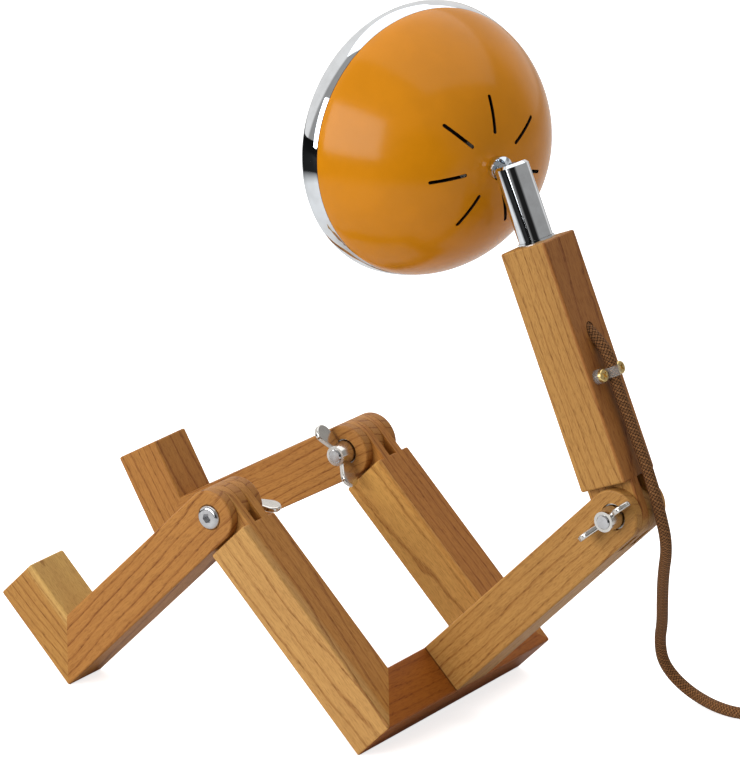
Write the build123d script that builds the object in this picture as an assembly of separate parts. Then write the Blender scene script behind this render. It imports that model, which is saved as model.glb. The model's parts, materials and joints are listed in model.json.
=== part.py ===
from build123d import *
import os
from math import asin, atan2, cos, degrees, hypot, pi, radians, sin, sqrt, tan

# A jointed wooden desk lamp that sits like a small robot. Millimetres and degrees.
# +X is the figure's left, -Y is the way it faces and +Z is up. The origin is on the
# surface it sits on, below the middle of its plan outline.

# Wooden beams
beam = 30.0                 # side of the square section of every beam
edge_round = 1.2            # rounding along the beams' edges
seat_width = 160.0          # outside width of the U-shaped seat frame
thigh_reach = 153.0         # seat frame's rear face to the knee axis
shin_reach = 156.5          # knee axis to the sole
foot_length = 65.5          # heel to toe
lower_back_reach = 187.5    # seat frame's underside to the waist axis
upper_back_reach = 151.5    # waist axis to the top of the upper back

# How the pieces lean at rest
seat_lean = 45.6            # seat frame against the floor
right_shin_lean = 29.5      # right shin against the floor, its foot in the air
upper_back_lean = 22.0      # upper back forward of upright

# Finger joints at the knees and the waist
finger_layers = 5           # fingers and tongues side by side across a beam
finger_side_gap = 0.15      # beside each tongue
shoulder_gap = 1.5          # between a rounded end and the shoulder it turns past
dowel_radius = 4.0
dowel_length = 40.0
dowel_spacing = 15.0

# Clamp bolts, washers and wing nuts
bolt_radius = 4.0
pivot_gap = 0.08            # radial, between a bolt and what turns on it
bolt_head_radius = 7.0
bolt_head_height = 4.4
bolt_head_proud = 2.1
bolt_crown_round = 2.4
bolt_tip_chamfer = 0.6
bolt_head_seat_gap = 0.3    # around a bolt's head in its counterbore
hex_socket_radius = 2.9     # across the corners, halved
hex_socket_depth = 2.4
nut_seat_depth = 3.0
nut_seat_gap = 0.3          # around a washer in the nut's counterbore
bolt_end_proud = 10.5       # bolt's end above the wood on the nut's side
washer_radius = 7.2
washer_thickness = 1.2
face_gap = 0.1              # between flat faces that turn on each other
nut_base_radius = 6.7
nut_base_height = 3.0
nut_top_radius = 5.7
nut_top_proud = 9.6
wing_thickness = 3.0
wing_root_out = 4.8
wing_root_radius = 3.4
wing_root_proud = 4.6
wing_tip_out = 14.2
wing_tip_radius = 5.6
wing_tip_proud = 8.6
wing_round = 0.9
left_wing_turn = -10.0      # where each nut's wings point at rest
right_wing_turn = -52.7
waist_wing_turn = 41.5

# Neck: a chrome barrel that turns on a threaded stem
neck_radius = 9.5
neck_height = 44.0          # barrel's top above the upper back
neck_top_chamfer = 1.5
neck_bore_radius = 6.5
neck_washer_radius = 10.2
neck_washer_thickness = 1.6
stem_radius = 5.0
stem_sunk = 24.0            # threaded stem's length inside the wood
stem_wire_radius = 2.8
bush_length = 5.0
stem_nut_gap = 0.3          # around the stem's nut in the barrel's bore
stem_nut_thickness = 3.0
stem_past_nut = 1.0
fit_gap = 0.05              # radial, between pieces that are fixed to each other

# Ball joint inside the barrel's top
ball_below_top = 5.44       # ball's centre below the barrel's top
ball_radius = 4.6
ball_gap = 0.1
ball_bore_length = 9.0      # from the ball's centre down to the barrel's wide bore
ball_seat_step = 0.5        # the seat's foot above the wide bore
arm_radius = 3.0            # hollow arm from the ball to the shade
arm_wire_radius = 1.7
arm_slot_gap = 0.35         # each side of the arm in the barrel's slot
arm_slot_drop = 4.4         # slot's foot and the seat's top below the ball's centre
collar_radius = 6.9
collar_length = 6.6
collar_middle = 5.1         # the collar's widest place behind its front face
arm_nut_radius = 5.4
arm_nut_thickness = 3.5
arm_end_past_nut = 2.0

# Shade
shade_heading = 21.14       # towards the figure's right of straight ahead
apex_out = 17.36            # ball's centre to the shade's outer apex
dome_radius = 74.3
dome_depth = 59.9
dome_wall = 1.0
dome_along_power = 1.32
dome_round_power = 2.31
skirt_end = 72.0            # front end of the straight skirt behind the ring, from the apex
skirt_inset = 0.8
skirt_slope = 0.4           # length of the step from the dome to the skirt
vent_count = 7
vent_start = 17.3
vent_end = 37.3
vent_width = 2.0
vent_turn = 5.0             # first vent's direction from upright
ring_start = 60.4
ring_wall = 1.0
ring_radius = 76.5
ring_front = 74.0
ring_round = 3.5            # rounding of the ring's front edge

# Lamp holder and bulb
holder_radius = 15.0
holder_cup_radius = 8.4
holder_length = 26.0
holder_cup_depth = 6.0
holder_socket_depth = 18.0
holder_chamfer = 1.5
reflector_radius = 46.0
reflector_wall = 0.8
reflector_foot = 13.0       # from the dome's apex to the reflector's foot on the holder
reflector_rise = 6.0        # from its foot to its rim
bulb_cap_radius = 7.0
bulb_cap_length = 20.0
bulb_radius = 22.5
bulb_wall = 1.0
bulb_neck_radius = 9.5
bulb_neck_length = 2.7
bulb_centre_past_cap = 19.2

# Cord, its hole and its clip
cord_radius = 3.25
cord_hole_gap = 0.4
wire_bore_radius = 3.5
clip_up = 74.0              # above the waist axis
clip_width = 5.5
clip_wall = 1.0
clip_cord_gap = 0.35
clip_cord_lift = 1.5        # the cord above the back face at the clip
clip_boss_radius = 4.0
clip_boss_height = 3.2
clip_head_clear = 0.1       # between the saddle's wall and a screw's head
clip_screw_radius = 1.5
clip_screw_length = 12.0
clip_head_radius = 3.6
clip_head_height = 2.0
clip_head_round = 0.7
cross_slot_length = 4.4
cross_slot_width = 0.9
cross_slot_depth = 1.0

# Unseen end of the cord: switch, coil, tie and plug
switch_length = 58.0
switch_width = 24.0
switch_height = 15.0
switch_corner_round = 6.0
switch_edge_round = 1.5
rocker_length = 17.0
rocker_width = 10.0
rocker_gap = 0.5
rocker_depth = 6.5
rocker_proud = 1.6
rocker_foot = 1.5           # the rocker's underside below its pivot
rocker_foot_inset = 1.0
rocker_crown_inset = 0.5
rocker_tilt = 8.0
rocker_pin_radius = 1.2
rocker_pin_length = 1.5     # each pin's reach into the housing
coil_turns = 3              # turns side by side in each of two layers
coil_middle_radius = 35.5
coil_x = -118.5             # from the middle of the seat
coil_y = 322.0
coil_round = 2.8
tie_width = 9.0
tie_thickness = 0.8
tie_turn = 60.0             # the tie's place round the coil
plug_sleeve_length = 14.0
plug_sleeve_radius = 5.0
plug_sleeve_wall = 0.8      # around the cord at the sleeve's end
plug_body_length = 32.0
plug_body_width = 26.0
plug_edge_round = 3.0
plug_back_chamfer = 2.4
pin_radius = 2.0
pin_length = 19.0
pin_spacing = 19.0
pin_tip_round = 1.6

# Route of the cord from the hole in the upper back to the switch; X is counted from the
# middle of the seat
cord_route = [
    (0, 151.65, 241.7),
    (0, 168.4, 232.8),
    (0, 174.6, 212.3),
    (-1, 184.8, 187.3),
    (-0.5, 195.6, 163.5),
    (-1, 202.6, 141.0),
    (-8, 202.2, 121.5),
    (-25, 189.0, 97.0),
    (-46, 175.5, 72.0),
    (-64.5, 164.0, 52.0),
    (-75.5, 155.5, 37.5),
    (-80.7, 153.8, 23.4),
    (-84.4, 158.2, 13.5),
    (-85.8, 166.8, 6.5),
    (-84.2, 177.4, 3.25),
    (-79.0, 189.5, 3.25),
    (-76.5, 202.0, 3.25),
    (-77.2, 214.0, 4.0),
    (-77.5, 225.5, 6.0),
]
# From the switch to the coil, and from the coil to the plug
lead_route = [(-77.5, 283.5, 6.0), (-77.3, 290.5, 5.2), (-76.8, 298.5, 3.8), (-76.5, 305.5, 3.25)]
plug_route = [(-160.5, 303.5, 9.75), (-161.1, 294.5, 8.9), (-161.5, 284.5, 7.5), (-161.4, 275.5, 6.85)]
cord_cuts = (3, 7)          # the cord is cut in the middle of the runs after these points

half = beam / 2
layer = beam / finger_layers
past = 1.0                  # how far a cutter runs past what it cuts
same = 0.01                 # two places closer than this are one
shank_gap = bolt_radius + pivot_gap
nut_seat_radius = washer_radius + nut_seat_gap
stem_nut_radius = neck_bore_radius - stem_nut_gap
skirt_outer = dome_radius - skirt_inset
skirt_inner = skirt_outer - dome_wall
clip_inner = cord_radius + clip_cord_gap
clip_screw_out = clip_inner + clip_wall + clip_head_clear + clip_head_radius
x_axis = (1, 0, 0)


# Directions and places
seat_sin = sin(radians(seat_lean))
seat_cos = cos(radians(seat_lean))
along_seat = Vector(0, -seat_cos, seat_sin)
off_seat = Vector(0, seat_sin, seat_cos)
seat_sink = edge_round * (seat_sin + seat_cos - 1)
shade_sin = sin(radians(shade_heading))
shade_cos = cos(radians(shade_heading))


def angle_direction(angle):
    """A direction in the YZ plane, counted from +Y towards +Z."""
    return Vector(0, cos(radians(angle)), sin(radians(angle)))


def heel_on_floor(knee_height):
    """Lean of a shin whose rounded heel touches the floor."""
    along = shin_reach - edge_round
    across = half - edge_round
    return degrees(asin((knee_height - edge_round) / hypot(along, across)) - atan2(across, along))


def ring_aside():
    """How far the shade's ring reaches to the figure's right of the seat's middle."""
    centre_out = apex_out + ring_front - ring_round
    centre_aside = ring_radius - ring_round
    return centre_out * shade_sin + centre_aside * shade_cos + ring_round


def toe_ahead(lean):
    """How far a leg reaches ahead of its knee axis."""
    sole = (shin_reach - edge_round) * cos(radians(lean))
    toe = (foot_length - half - edge_round) * sin(radians(lean))
    return sole + toe + edge_round


knee_over_hip = along_seat * thigh_reach + off_seat * half
waist_over_hip = along_seat * half + off_seat * lower_back_reach
left_shin_lean = heel_on_floor(knee_over_hip.Z - seat_sink)
front = knee_over_hip.Y - max(toe_ahead(left_shin_lean), toe_ahead(right_shin_lean))
wing_reach = wing_tip_out + wing_tip_radius
wing_turn = radians(waist_wing_turn)
wing_behind = wing_reach * cos(wing_turn) + wing_thickness / 2 * sin(wing_turn)
back = waist_over_hip.Y + max(half, wing_behind)
left_side = seat_width / 2 + bolt_head_proud
right_side = max(ring_aside(), left_side)
hip = Vector((right_side - left_side) / 2, -(front + back) / 2, -seat_sink)
knee = hip + knee_over_hip
waist = hip + waist_over_hip
up_back = angle_direction(90 + upper_back_lean)
neck_base = waist + up_back * upper_back_reach
ball = neck_base + up_back * (neck_height - ball_below_top)
shade_axis = Vector(-shade_sin, -shade_cos, 0)
tilt_axis = up_back.cross(shade_axis).normalized()
slot_side = tilt_axis.cross(up_back)
leg_out = seat_width / 2 - half

# Planes for side profiles: local x is across the beam, local y along it, the normal is +X
seat_plane = Plane(origin=hip, x_dir=off_seat, z_dir=x_axis)
lower_back_plane = Plane(origin=hip + along_seat * half, x_dir=-along_seat, z_dir=x_axis)
upper_back_plane = Plane(origin=waist, x_dir=angle_direction(upper_back_lean), z_dir=x_axis)
left_shin_plane = Plane(origin=knee, x_dir=angle_direction(90 + left_shin_lean), z_dir=x_axis)
right_shin_plane = Plane(origin=knee, x_dir=angle_direction(90 + right_shin_lean), z_dir=x_axis)
neck_plane = Plane(origin=neck_base, x_dir=slot_side, z_dir=up_back)
ball_plane = Plane(origin=ball, x_dir=(0, 0, 1), z_dir=shade_axis)
apex_plane = Plane(origin=ball + shade_axis * apex_out, x_dir=(0, 0, 1), z_dir=shade_axis)


# Small helpers
def block(x0, x1, y0, y1, z0, z1):
    """A box between two corners."""
    middle = Pos((x0 + x1) / 2, (y0 + y1) / 2, (z0 + z1) / 2)
    return middle * Box(abs(x1 - x0), abs(y1 - y0), abs(z1 - z0))


def rod(radius, z0, z1, inner=0.0):
    """A round rod or tube along local z."""
    body = Pos(0, 0, (z0 + z1) / 2) * Cylinder(radius, z1 - z0)
    if inner > 0:
        body -= Pos(0, 0, (z0 + z1) / 2) * Cylinder(inner, z1 - z0 + 2 * past)
    return body


def turned(outline):
    """A solid turned about local z from (radius, z) points."""
    face = Plane.XZ * make_face(Polyline(*outline, close=True))
    return revolve(face, Axis.Z)


def save(shape, name):
    """Write one sub-part and return its solid."""
    solids = shape.solids()
    if len(solids) != 1:
        print("check", name, "has", len(solids), "solids")
    body = solids[0] if len(solids) == 1 else Compound(children=list(solids))
    body.label = name
    export_step(body, "parts/" + name + ".step")
    return body


def on_side(shape, plane, keep):
    """The solids of a shape on one side of a plane."""
    return split(shape, bisect_by=plane, keep=keep).solids()


# Wooden pieces
def rounded(solid, edges):
    """Round a beam's edges."""
    return fillet(edges, edge_round)


def layer_slots(first, reach_from, reach_to, axis_x, gap):
    """Blocks, in a side plane's frame, that clear every second layer of a beam's end."""
    slots = []
    for index in range(first, finger_layers, 2):
        x0 = axis_x - half + index * layer - gap
        x1 = x0 + layer + 2 * gap
        if index == 0:
            x0 -= half
        if index == finger_layers - 1:
            x1 += half
        slots.append(block(-beam, beam, reach_from, reach_to, x0, x1))
    return slots


def bolt_hole(solid, centre, axis_x, radius):
    """Bore a beam's end for its clamp bolt; centre is in the side plane's frame."""
    return solid - Pos(centre[0], centre[1], axis_x) * Cylinder(radius, beam + 2 * past)


def finger_end(solid, centre, axis_x, nut_side):
    """Bolt hole, head counterbore and nut counterbore of a fingered end."""
    solid = bolt_hole(solid, centre, axis_x, shank_gap)
    head_depth = bolt_head_height - bolt_head_proud
    head_face = axis_x - nut_side * half
    nut_face = axis_x + nut_side * half
    head_bore = Cylinder(bolt_head_radius + bolt_head_seat_gap, 2 * head_depth)
    nut_bore = Cylinder(nut_seat_radius, 2 * nut_seat_depth)
    solid -= Pos(centre[0], centre[1], head_face) * head_bore
    return solid - Pos(centre[0], centre[1], nut_face) * nut_bore


def leg(plane, axis_x, nut_side, side):
    """Shin and foot of one leg, cut apart at their mitre."""
    toe = foot_length - half
    inner = shin_reach - beam
    outline = [(half, 0), (half, inner), (toe, inner), (toe, shin_reach), (-half, shin_reach), (-half, 0)]
    edge = Polyline(*outline) + ThreePointArc((-half, 0), (0, -half), (half, 0))
    solid = Pos(0, 0, axis_x) * extrude(make_face(edge), half, both=True)
    crook = Vector(half, inner, axis_x)
    ends = [e for e in solid.edges() if (e.center() - crook).length > 1 and not is_tangent_line(e)]
    solid = rounded(solid, ends)
    for slot in layer_slots(1, -beam, half + shoulder_gap, axis_x, finger_side_gap):
        solid -= slot
    solid = finger_end(solid, (0, 0), axis_x, nut_side)
    mitre = Plane(origin=(half, inner, axis_x), x_dir=(0, 0, 1), z_dir=(1, 1, 0))
    halves = on_side(solid, mitre, Keep.TOP) + on_side(solid, mitre, Keep.BOTTOM)
    foot = max(halves, key=lambda piece: piece.center().X)
    shin = min(halves, key=lambda piece: piece.center().X)
    save(plane.location * shin, side + "_shin")
    save(plane.location * foot, side + "_foot")


def is_tangent_line(edge):
    """True for the seam lines where a rounded end runs into the flat sides."""
    centre = edge.center()
    straight = edge.geom_type == GeomType.LINE and abs(edge.tangent_at(0.5).Z) > 0.9
    return straight and abs(abs(centre.X) - half) < same and abs(centre.Y) < same


def seat_frame():
    """Crossbar and thighs, rounded as one U and cut apart at the mitres."""
    solid = block(0, beam, 0, beam, -seat_width / 2, seat_width / 2)
    for side in (-1, 1):
        middle = side * leg_out
        solid += block(0, beam, 0, thigh_reach - half - shoulder_gap, middle - half, middle + half)
    solid = solid.clean()

    def inner_corner(e):
        inner_side = leg_out - half
        at_corner = abs(e.center().Y - beam) < same and abs(abs(e.center().Z) - inner_side) < same
        return at_corner and abs(e.tangent_at(0.5).X) > 0.9

    solid = rounded(solid, [e for e in solid.edges() if not inner_corner(e)])
    names = {-1: "right_thigh", 1: "left_thigh"}
    for side in (-1, 1):
        axis_x = side * leg_out
        root = thigh_reach - beam
        tongue_edge = Polyline((beam, thigh_reach), (beam, root), (0, root), (0, thigh_reach))
        tongue_edge += ThreePointArc((0, thigh_reach), (half, thigh_reach + half), (beam, thigh_reach))
        tongue = extrude(make_face(tongue_edge), layer / 2 - finger_side_gap, both=True)
        for index in range(1, finger_layers, 2):
            solid += Pos(0, 0, axis_x - half + (index + 0.5) * layer) * tongue
        solid = bolt_hole(solid, (half, thigh_reach), axis_x, shank_gap)
    crossbar = solid
    for side in (-1, 1):
        mitre = Plane(origin=(0, 0, side * seat_width / 2), x_dir=(1, 0, 0), z_dir=(0, 1, side))
        thigh = max(on_side(solid, mitre, Keep.TOP), key=lambda piece: side * piece.center().Z)
        save(seat_plane.location * thigh, names[side])
        crossbar = min(on_side(crossbar, mitre, Keep.BOTTOM), key=lambda piece: piece.center().Y)
    for place in (-1, 1):
        crossbar -= dowel(place, dowel_radius + fit_gap)
    save(seat_plane.location * crossbar, "crossbar")
    return crossbar


def dowel(place, radius):
    """A dowel across the butt joint, in the seat plane's frame."""
    spot = Pos(beam, half, place * dowel_spacing / 2)
    return spot * Rot(0, 90, 0) * Cylinder(radius, dowel_length)


def lower_back():
    """The beam that stands on the crossbar, with its fingered end at the waist."""
    top = lower_back_reach
    edge = Polyline((half, top), (half, beam), (-half, beam), (-half, top))
    edge += ThreePointArc((-half, top), (0, top + half), (half, top))
    solid = extrude(make_face(edge), half, both=True)
    ends = [e for e in solid.edges() if e.center().Y > beam + same and not waist_seam(e)]
    solid = rounded(solid, ends)
    for slot in layer_slots(1, top - half - shoulder_gap, top + beam, 0, finger_side_gap):
        solid -= slot
    solid = finger_end(solid, (0, top), 0, 1)
    solid = lower_back_plane.location * solid
    for place in (-1, 1):
        solid -= seat_plane.location * dowel(place, dowel_radius + fit_gap)
    return save(solid, "lower_back")


def waist_seam(edge):
    """True for the seam lines where the waist's rounded end runs into the flat sides."""
    straight = edge.geom_type == GeomType.LINE and abs(edge.tangent_at(0.5).Z) > 0.9
    return straight and abs(edge.center().Y - lower_back_reach) < same


def upper_back():
    """The beam that leans forward from the waist, bored for the stem, the wires and the cord."""
    foot = half + shoulder_gap
    solid = block(-half, half, foot, upper_back_reach, -half, half)
    solid = rounded(solid, solid.edges())
    edge = Polyline((half, 0), (half, beam), (-half, beam), (-half, 0))
    edge += ThreePointArc((-half, 0), (0, -half), (half, 0))
    tongue = extrude(make_face(edge), layer / 2 - finger_side_gap, both=True)
    for index in range(1, finger_layers, 2):
        solid += Pos(0, 0, -half + (index + 0.5) * layer) * tongue
    solid = bolt_hole(solid, (0, 0), 0, shank_gap)
    solid = upper_back_plane.location * solid
    solid -= neck_plane.location * rod(stem_radius + fit_gap, -stem_sunk, past)
    solid -= cord_bore()
    solid -= wire_bore()
    for side in (-1, 1):
        solid -= clip_place(side) * rod(clip_screw_radius + fit_gap, -clip_screw_length, past)
    return save(solid, "upper_back")


def cord_bore():
    """Slanted hole from the back face up into the beam, along the cord's first run."""
    start, end = on_seat_middle(cord_route[:2])
    plane = Plane(origin=(start + end) / 2, z_dir=(end - start).normalized())
    return plane.location * Cylinder(cord_radius + cord_hole_gap, (end - start).length + 2 * past)


def wire_bore():
    """Bore that takes the wires from the cord's end to the threaded stem."""
    start, end = on_seat_middle(cord_route[:2])
    low = start - (end - start).normalized() * past
    high = neck_base - up_back * (stem_sunk - past)
    way = high - low
    plane = Plane(origin=(low + high) / 2, z_dir=way.normalized())
    return plane.location * Cylinder(wire_bore_radius, way.length + 2 * past)


# Clamp hardware
def bolt(plane, axis_x, nut_side, centre, name):
    """Button-head bolt with a hex socket, its head opposite the nut."""
    head_face = half + bolt_head_proud
    head_back = head_face - bolt_head_height
    head = Pos(0, 0, -(head_face + head_back) / 2) * Cylinder(bolt_head_radius, bolt_head_height)
    crown = head.edges().group_by(Axis.Z)[0]
    head = fillet(crown, bolt_crown_round)
    shank = rod(bolt_radius, -head_back, half + bolt_end_proud)
    tip = shank.edges().group_by(Axis.Z)[-1]
    shank = chamfer(tip, bolt_tip_chamfer)
    solid = head + shank
    socket = extrude(RegularPolygon(hex_socket_radius, 6), hex_socket_depth)
    solid -= Pos(0, 0, -head_face) * socket
    return save(side_place(plane, axis_x, nut_side, centre) * solid, name)


def side_place(plane, axis_x, nut_side, centre):
    """A frame on a pivot whose z points along X towards the nut."""
    spin = Rot(0, 0, 0) if nut_side > 0 else Rot(180, 0, 0)
    return plane.location * Pos(centre[0], centre[1], axis_x) * spin


def washer(plane, axis_x, nut_side, centre, name):
    """Washer at the bottom of the nut's counterbore."""
    floor = half - nut_seat_depth
    ring = rod(washer_radius, floor, floor + washer_thickness, bolt_radius + fit_gap)
    return save(side_place(plane, axis_x, nut_side, centre) * ring, name)


def wing_nut(axis, axis_x, nut_side, turn, name):
    """Wing nut on a bolt; turn is where its wings point, from +Y towards +Z."""
    base = half - nut_seat_depth + washer_thickness + face_gap
    top = half + nut_top_proud
    outline = [
        (shank_gap, base),
        (nut_base_radius, base),
        (nut_base_radius, base + nut_base_height),
        (nut_top_radius, top),
        (shank_gap, top),
    ]
    solid = turned(outline)
    for way in (-1, 1):
        root = Pos(way * wing_root_out, half + wing_root_proud) * Circle(wing_root_radius)
        tip = Pos(way * wing_tip_out, half + wing_tip_proud) * Circle(wing_tip_radius)
        hull = make_hull(root.edges() + tip.edges())
        paddle = extrude(Plane.XZ * make_face(hull), wing_thickness / 2, both=True)
        paddle = fillet(paddle.edges(), wing_round)
        solid += paddle - rod(shank_gap, base - past, top + beam)
    place = Plane(origin=axis + Vector(axis_x, 0, 0), x_dir=angle_direction(turn), z_dir=(nut_side, 0, 0))
    return save(place.location * solid, name)


# Neck and ball joint
def neck():
    """Chrome barrel, its bush, the threaded stem, its nut and the washer under the barrel."""
    foot = neck_washer_thickness + face_gap
    centre = neck_height - ball_below_top
    seat_low = centre - ball_bore_length
    barrel = rod(neck_radius, foot, neck_height)
    barrel = chamfer(barrel.edges().group_by(Axis.Z)[-1], neck_top_chamfer)
    barrel -= rod(neck_bore_radius, foot - past, seat_low)
    barrel -= rod(ball_radius + ball_gap, seat_low - past, centre)
    barrel -= Pos(0, 0, centre) * Sphere(ball_radius + ball_gap)
    slot_half = arm_radius + arm_slot_gap
    barrel -= block(-slot_half, beam, -slot_half, slot_half, centre - arm_slot_drop, neck_height + past)
    save(neck_plane.location * barrel, "neck_barrel")

    seat_low += ball_seat_step
    seat = rod(ball_radius + ball_gap - fit_gap, seat_low, centre - arm_slot_drop, arm_wire_radius)
    seat -= Pos(0, 0, centre) * Sphere(ball_radius + ball_gap)
    save(neck_plane.location * seat, "ball_seat")

    bush = rod(neck_bore_radius - fit_gap, foot, foot + bush_length, stem_radius + pivot_gap)
    save(neck_plane.location * bush, "neck_bush")

    nut_low = foot + bush_length + face_gap
    stem = rod(stem_radius, -stem_sunk, nut_low + stem_nut_thickness + stem_past_nut, stem_wire_radius)
    save(neck_plane.location * stem, "threaded_stem")

    stem_nut = rod(stem_nut_radius, nut_low, nut_low + stem_nut_thickness, stem_radius + fit_gap)
    save(neck_plane.location * stem_nut, "stem_nut")
    seat_washer = rod(neck_washer_radius, 0, neck_washer_thickness, stem_radius + fit_gap)
    save(neck_plane.location * seat_washer, "neck_washer")


def ball_arm():
    """Hollow ball and arm, with the collar and the nut that hold the shade on the arm."""
    nut_low = apex_out + dome_wall + face_gap
    arm_end = nut_low + arm_nut_thickness + arm_end_past_nut
    solid = Sphere(ball_radius) + rod(arm_radius, 0, arm_end)
    solid -= rod(arm_wire_radius, -beam, arm_end + past)
    save(ball_plane.location * solid, "ball_arm")

    front_face = apex_out - face_gap
    collar = Pos(0, 0, front_face - collar_middle) * Sphere(collar_radius)
    collar -= rod(beam, -beam, front_face - collar_length)
    collar -= rod(beam, front_face, front_face + beam)
    collar -= rod(arm_radius + fit_gap, 0, beam)
    save(ball_plane.location * collar, "arm_collar")

    hexagon = extrude(RegularPolygon(arm_nut_radius, 6), arm_nut_thickness)
    nut = Pos(0, 0, nut_low) * hexagon - rod(arm_radius + fit_gap, 0, 2 * beam)
    save(ball_plane.location * nut, "arm_nut")


# Shade
def dome_points(radius, depth, count):
    """Half outline of the dome from its apex to its widest place, as (radius, depth) pairs."""
    points = []
    for step in range(count + 1):
        share = (step / count) ** 2
        across = radius * (1 - (1 - share) ** dome_along_power) ** (1 / dome_round_power)
        points.append((across, share * depth))
    return points


def dome():
    """Pressed dome with a straight skirt behind the ring, radial vents and a hole for the arm."""
    outer = dome_points(dome_radius, dome_depth, 7)
    inner = dome_points(dome_radius - dome_wall, dome_depth - dome_wall, 7)
    inner = [(r, s + dome_wall) for r, s in inner]
    edge = Spline(*outer, tangents=[(1, 0), (0, 1)])
    edge += Polyline(
        (dome_radius, dome_depth),
        (skirt_outer, dome_depth + skirt_slope),
        (skirt_outer, skirt_end),
        (skirt_inner, skirt_end),
        (skirt_inner, dome_depth + skirt_slope),
        (dome_radius - dome_wall, dome_depth),
    )
    edge += Spline(*inner, tangents=[(1, 0), (0, 1)])
    edge += Line((0, 0), (0, dome_wall))
    solid = revolve(Plane.XZ * make_face(edge), Axis.Z)
    solid -= rod(arm_radius + pivot_gap, -past, beam)
    vent_length = vent_end - vent_start
    slot = SlotOverall(vent_length, vent_width)
    for index in range(vent_count):
        turn = vent_turn - index * 360 / vent_count
        cutter = Rot(0, 0, turn) * Pos((vent_start + vent_end) / 2, 0, 0) * extrude(slot, beam)
        solid -= cutter
    return save(apex_plane.location * solid, "shade_dome")


def ring():
    """Chrome ring over the skirt, with a rounded lip that hooks round the front edge."""
    bore = skirt_outer + fit_gap
    edge_depth = ring_front - ring_round
    round_radius = ring_radius - ring_round
    corner = ring_round * sqrt(0.5)
    lip_start = skirt_end + fit_gap
    edge = Polyline(
        (skirt_inner, lip_start),
        (bore, lip_start),
        (bore, ring_start),
        (bore + ring_wall, ring_start),
        (ring_radius, edge_depth),
    )
    edge += ThreePointArc(
        (ring_radius, edge_depth),
        (round_radius + corner, edge_depth + corner),
        (round_radius, ring_front),
    )
    edge += Polyline((round_radius, ring_front), (skirt_inner, ring_front), (skirt_inner, lip_start))
    solid = revolve(Plane.XZ * make_face(edge), Axis.Z)
    return save(apex_plane.location * solid, "shade_ring")


def dome_inside_at(radius):
    """Depth of the dome's inner face from the apex at a radius."""
    share = (radius / (dome_radius - dome_wall)) ** dome_round_power
    return dome_wall + (dome_depth - dome_wall) * (1 - (1 - share) ** (1 / dome_along_power))


def bulb_shape(radius, neck_radius, low, neck_low, centre):
    """A globe that narrows to its neck, as a turned solid; low is where the neck is cut off."""
    meet = neck_low + bulb_neck_length
    meet_radius = sqrt(radius ** 2 - (centre - meet) ** 2)
    edge = Polyline((0, low), (neck_radius, low), (neck_radius, neck_low), (meet_radius, meet))
    edge += ThreePointArc((meet_radius, meet), (radius, centre), (0, centre + radius))
    edge += Line((0, centre + radius), (0, low))
    return revolve(Plane.XZ * make_face(edge), Axis.Z)


def holder_and_bulb():
    """Lamp holder seated inside the apex, the reflector round it, and a round bulb in it."""
    low = dome_inside_at(holder_radius) + face_gap
    high = low + holder_length
    socket_low = high - holder_socket_depth
    holder = rod(holder_radius, low, high)
    holder = chamfer(holder.edges().group_by(Axis.Z)[-1], holder_chamfer)
    holder -= rod(holder_cup_radius, low - past, low + holder_cup_depth)
    holder -= rod(bulb_cap_radius + fit_gap, socket_low, high + past)
    holder -= rod(arm_wire_radius, low, socket_low + past)
    save(apex_plane.location * holder, "lamp_holder")

    bore = holder_radius + fit_gap
    rim = reflector_foot + reflector_rise
    back = [(bore, reflector_foot), (reflector_radius, rim)]
    front = [(reflector_radius, rim + reflector_wall), (bore, reflector_foot + reflector_wall)]
    save(apex_plane.location * turned(back + front), "reflector")

    cap_low = socket_low + face_gap
    cap_high = cap_low + bulb_cap_length
    save(apex_plane.location * rod(bulb_cap_radius, cap_low, cap_high), "bulb_cap")

    centre = cap_high + bulb_centre_past_cap
    outer = bulb_shape(bulb_radius, bulb_neck_radius, cap_high - bulb_wall, cap_high, centre)
    inner_neck = bulb_neck_radius - bulb_wall
    inner = bulb_shape(bulb_radius - bulb_wall, inner_neck, cap_high - beam, cap_high + bulb_wall, centre)
    glass = outer - inner - rod(bulb_radius, cap_high - beam, cap_high)
    glass += rod(bulb_neck_radius, cap_high, cap_high + bulb_wall)
    save(apex_plane.location * glass, "bulb_glass")


# Clip
def clip_place(side):
    """Frame on the back face at one clip screw; z points off the face."""
    spot = upper_back_plane.from_local_coords(Vector(half, clip_up, side * clip_screw_out))
    return Plane(origin=spot, x_dir=x_axis, z_dir=angle_direction(upper_back_lean)).location


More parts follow.
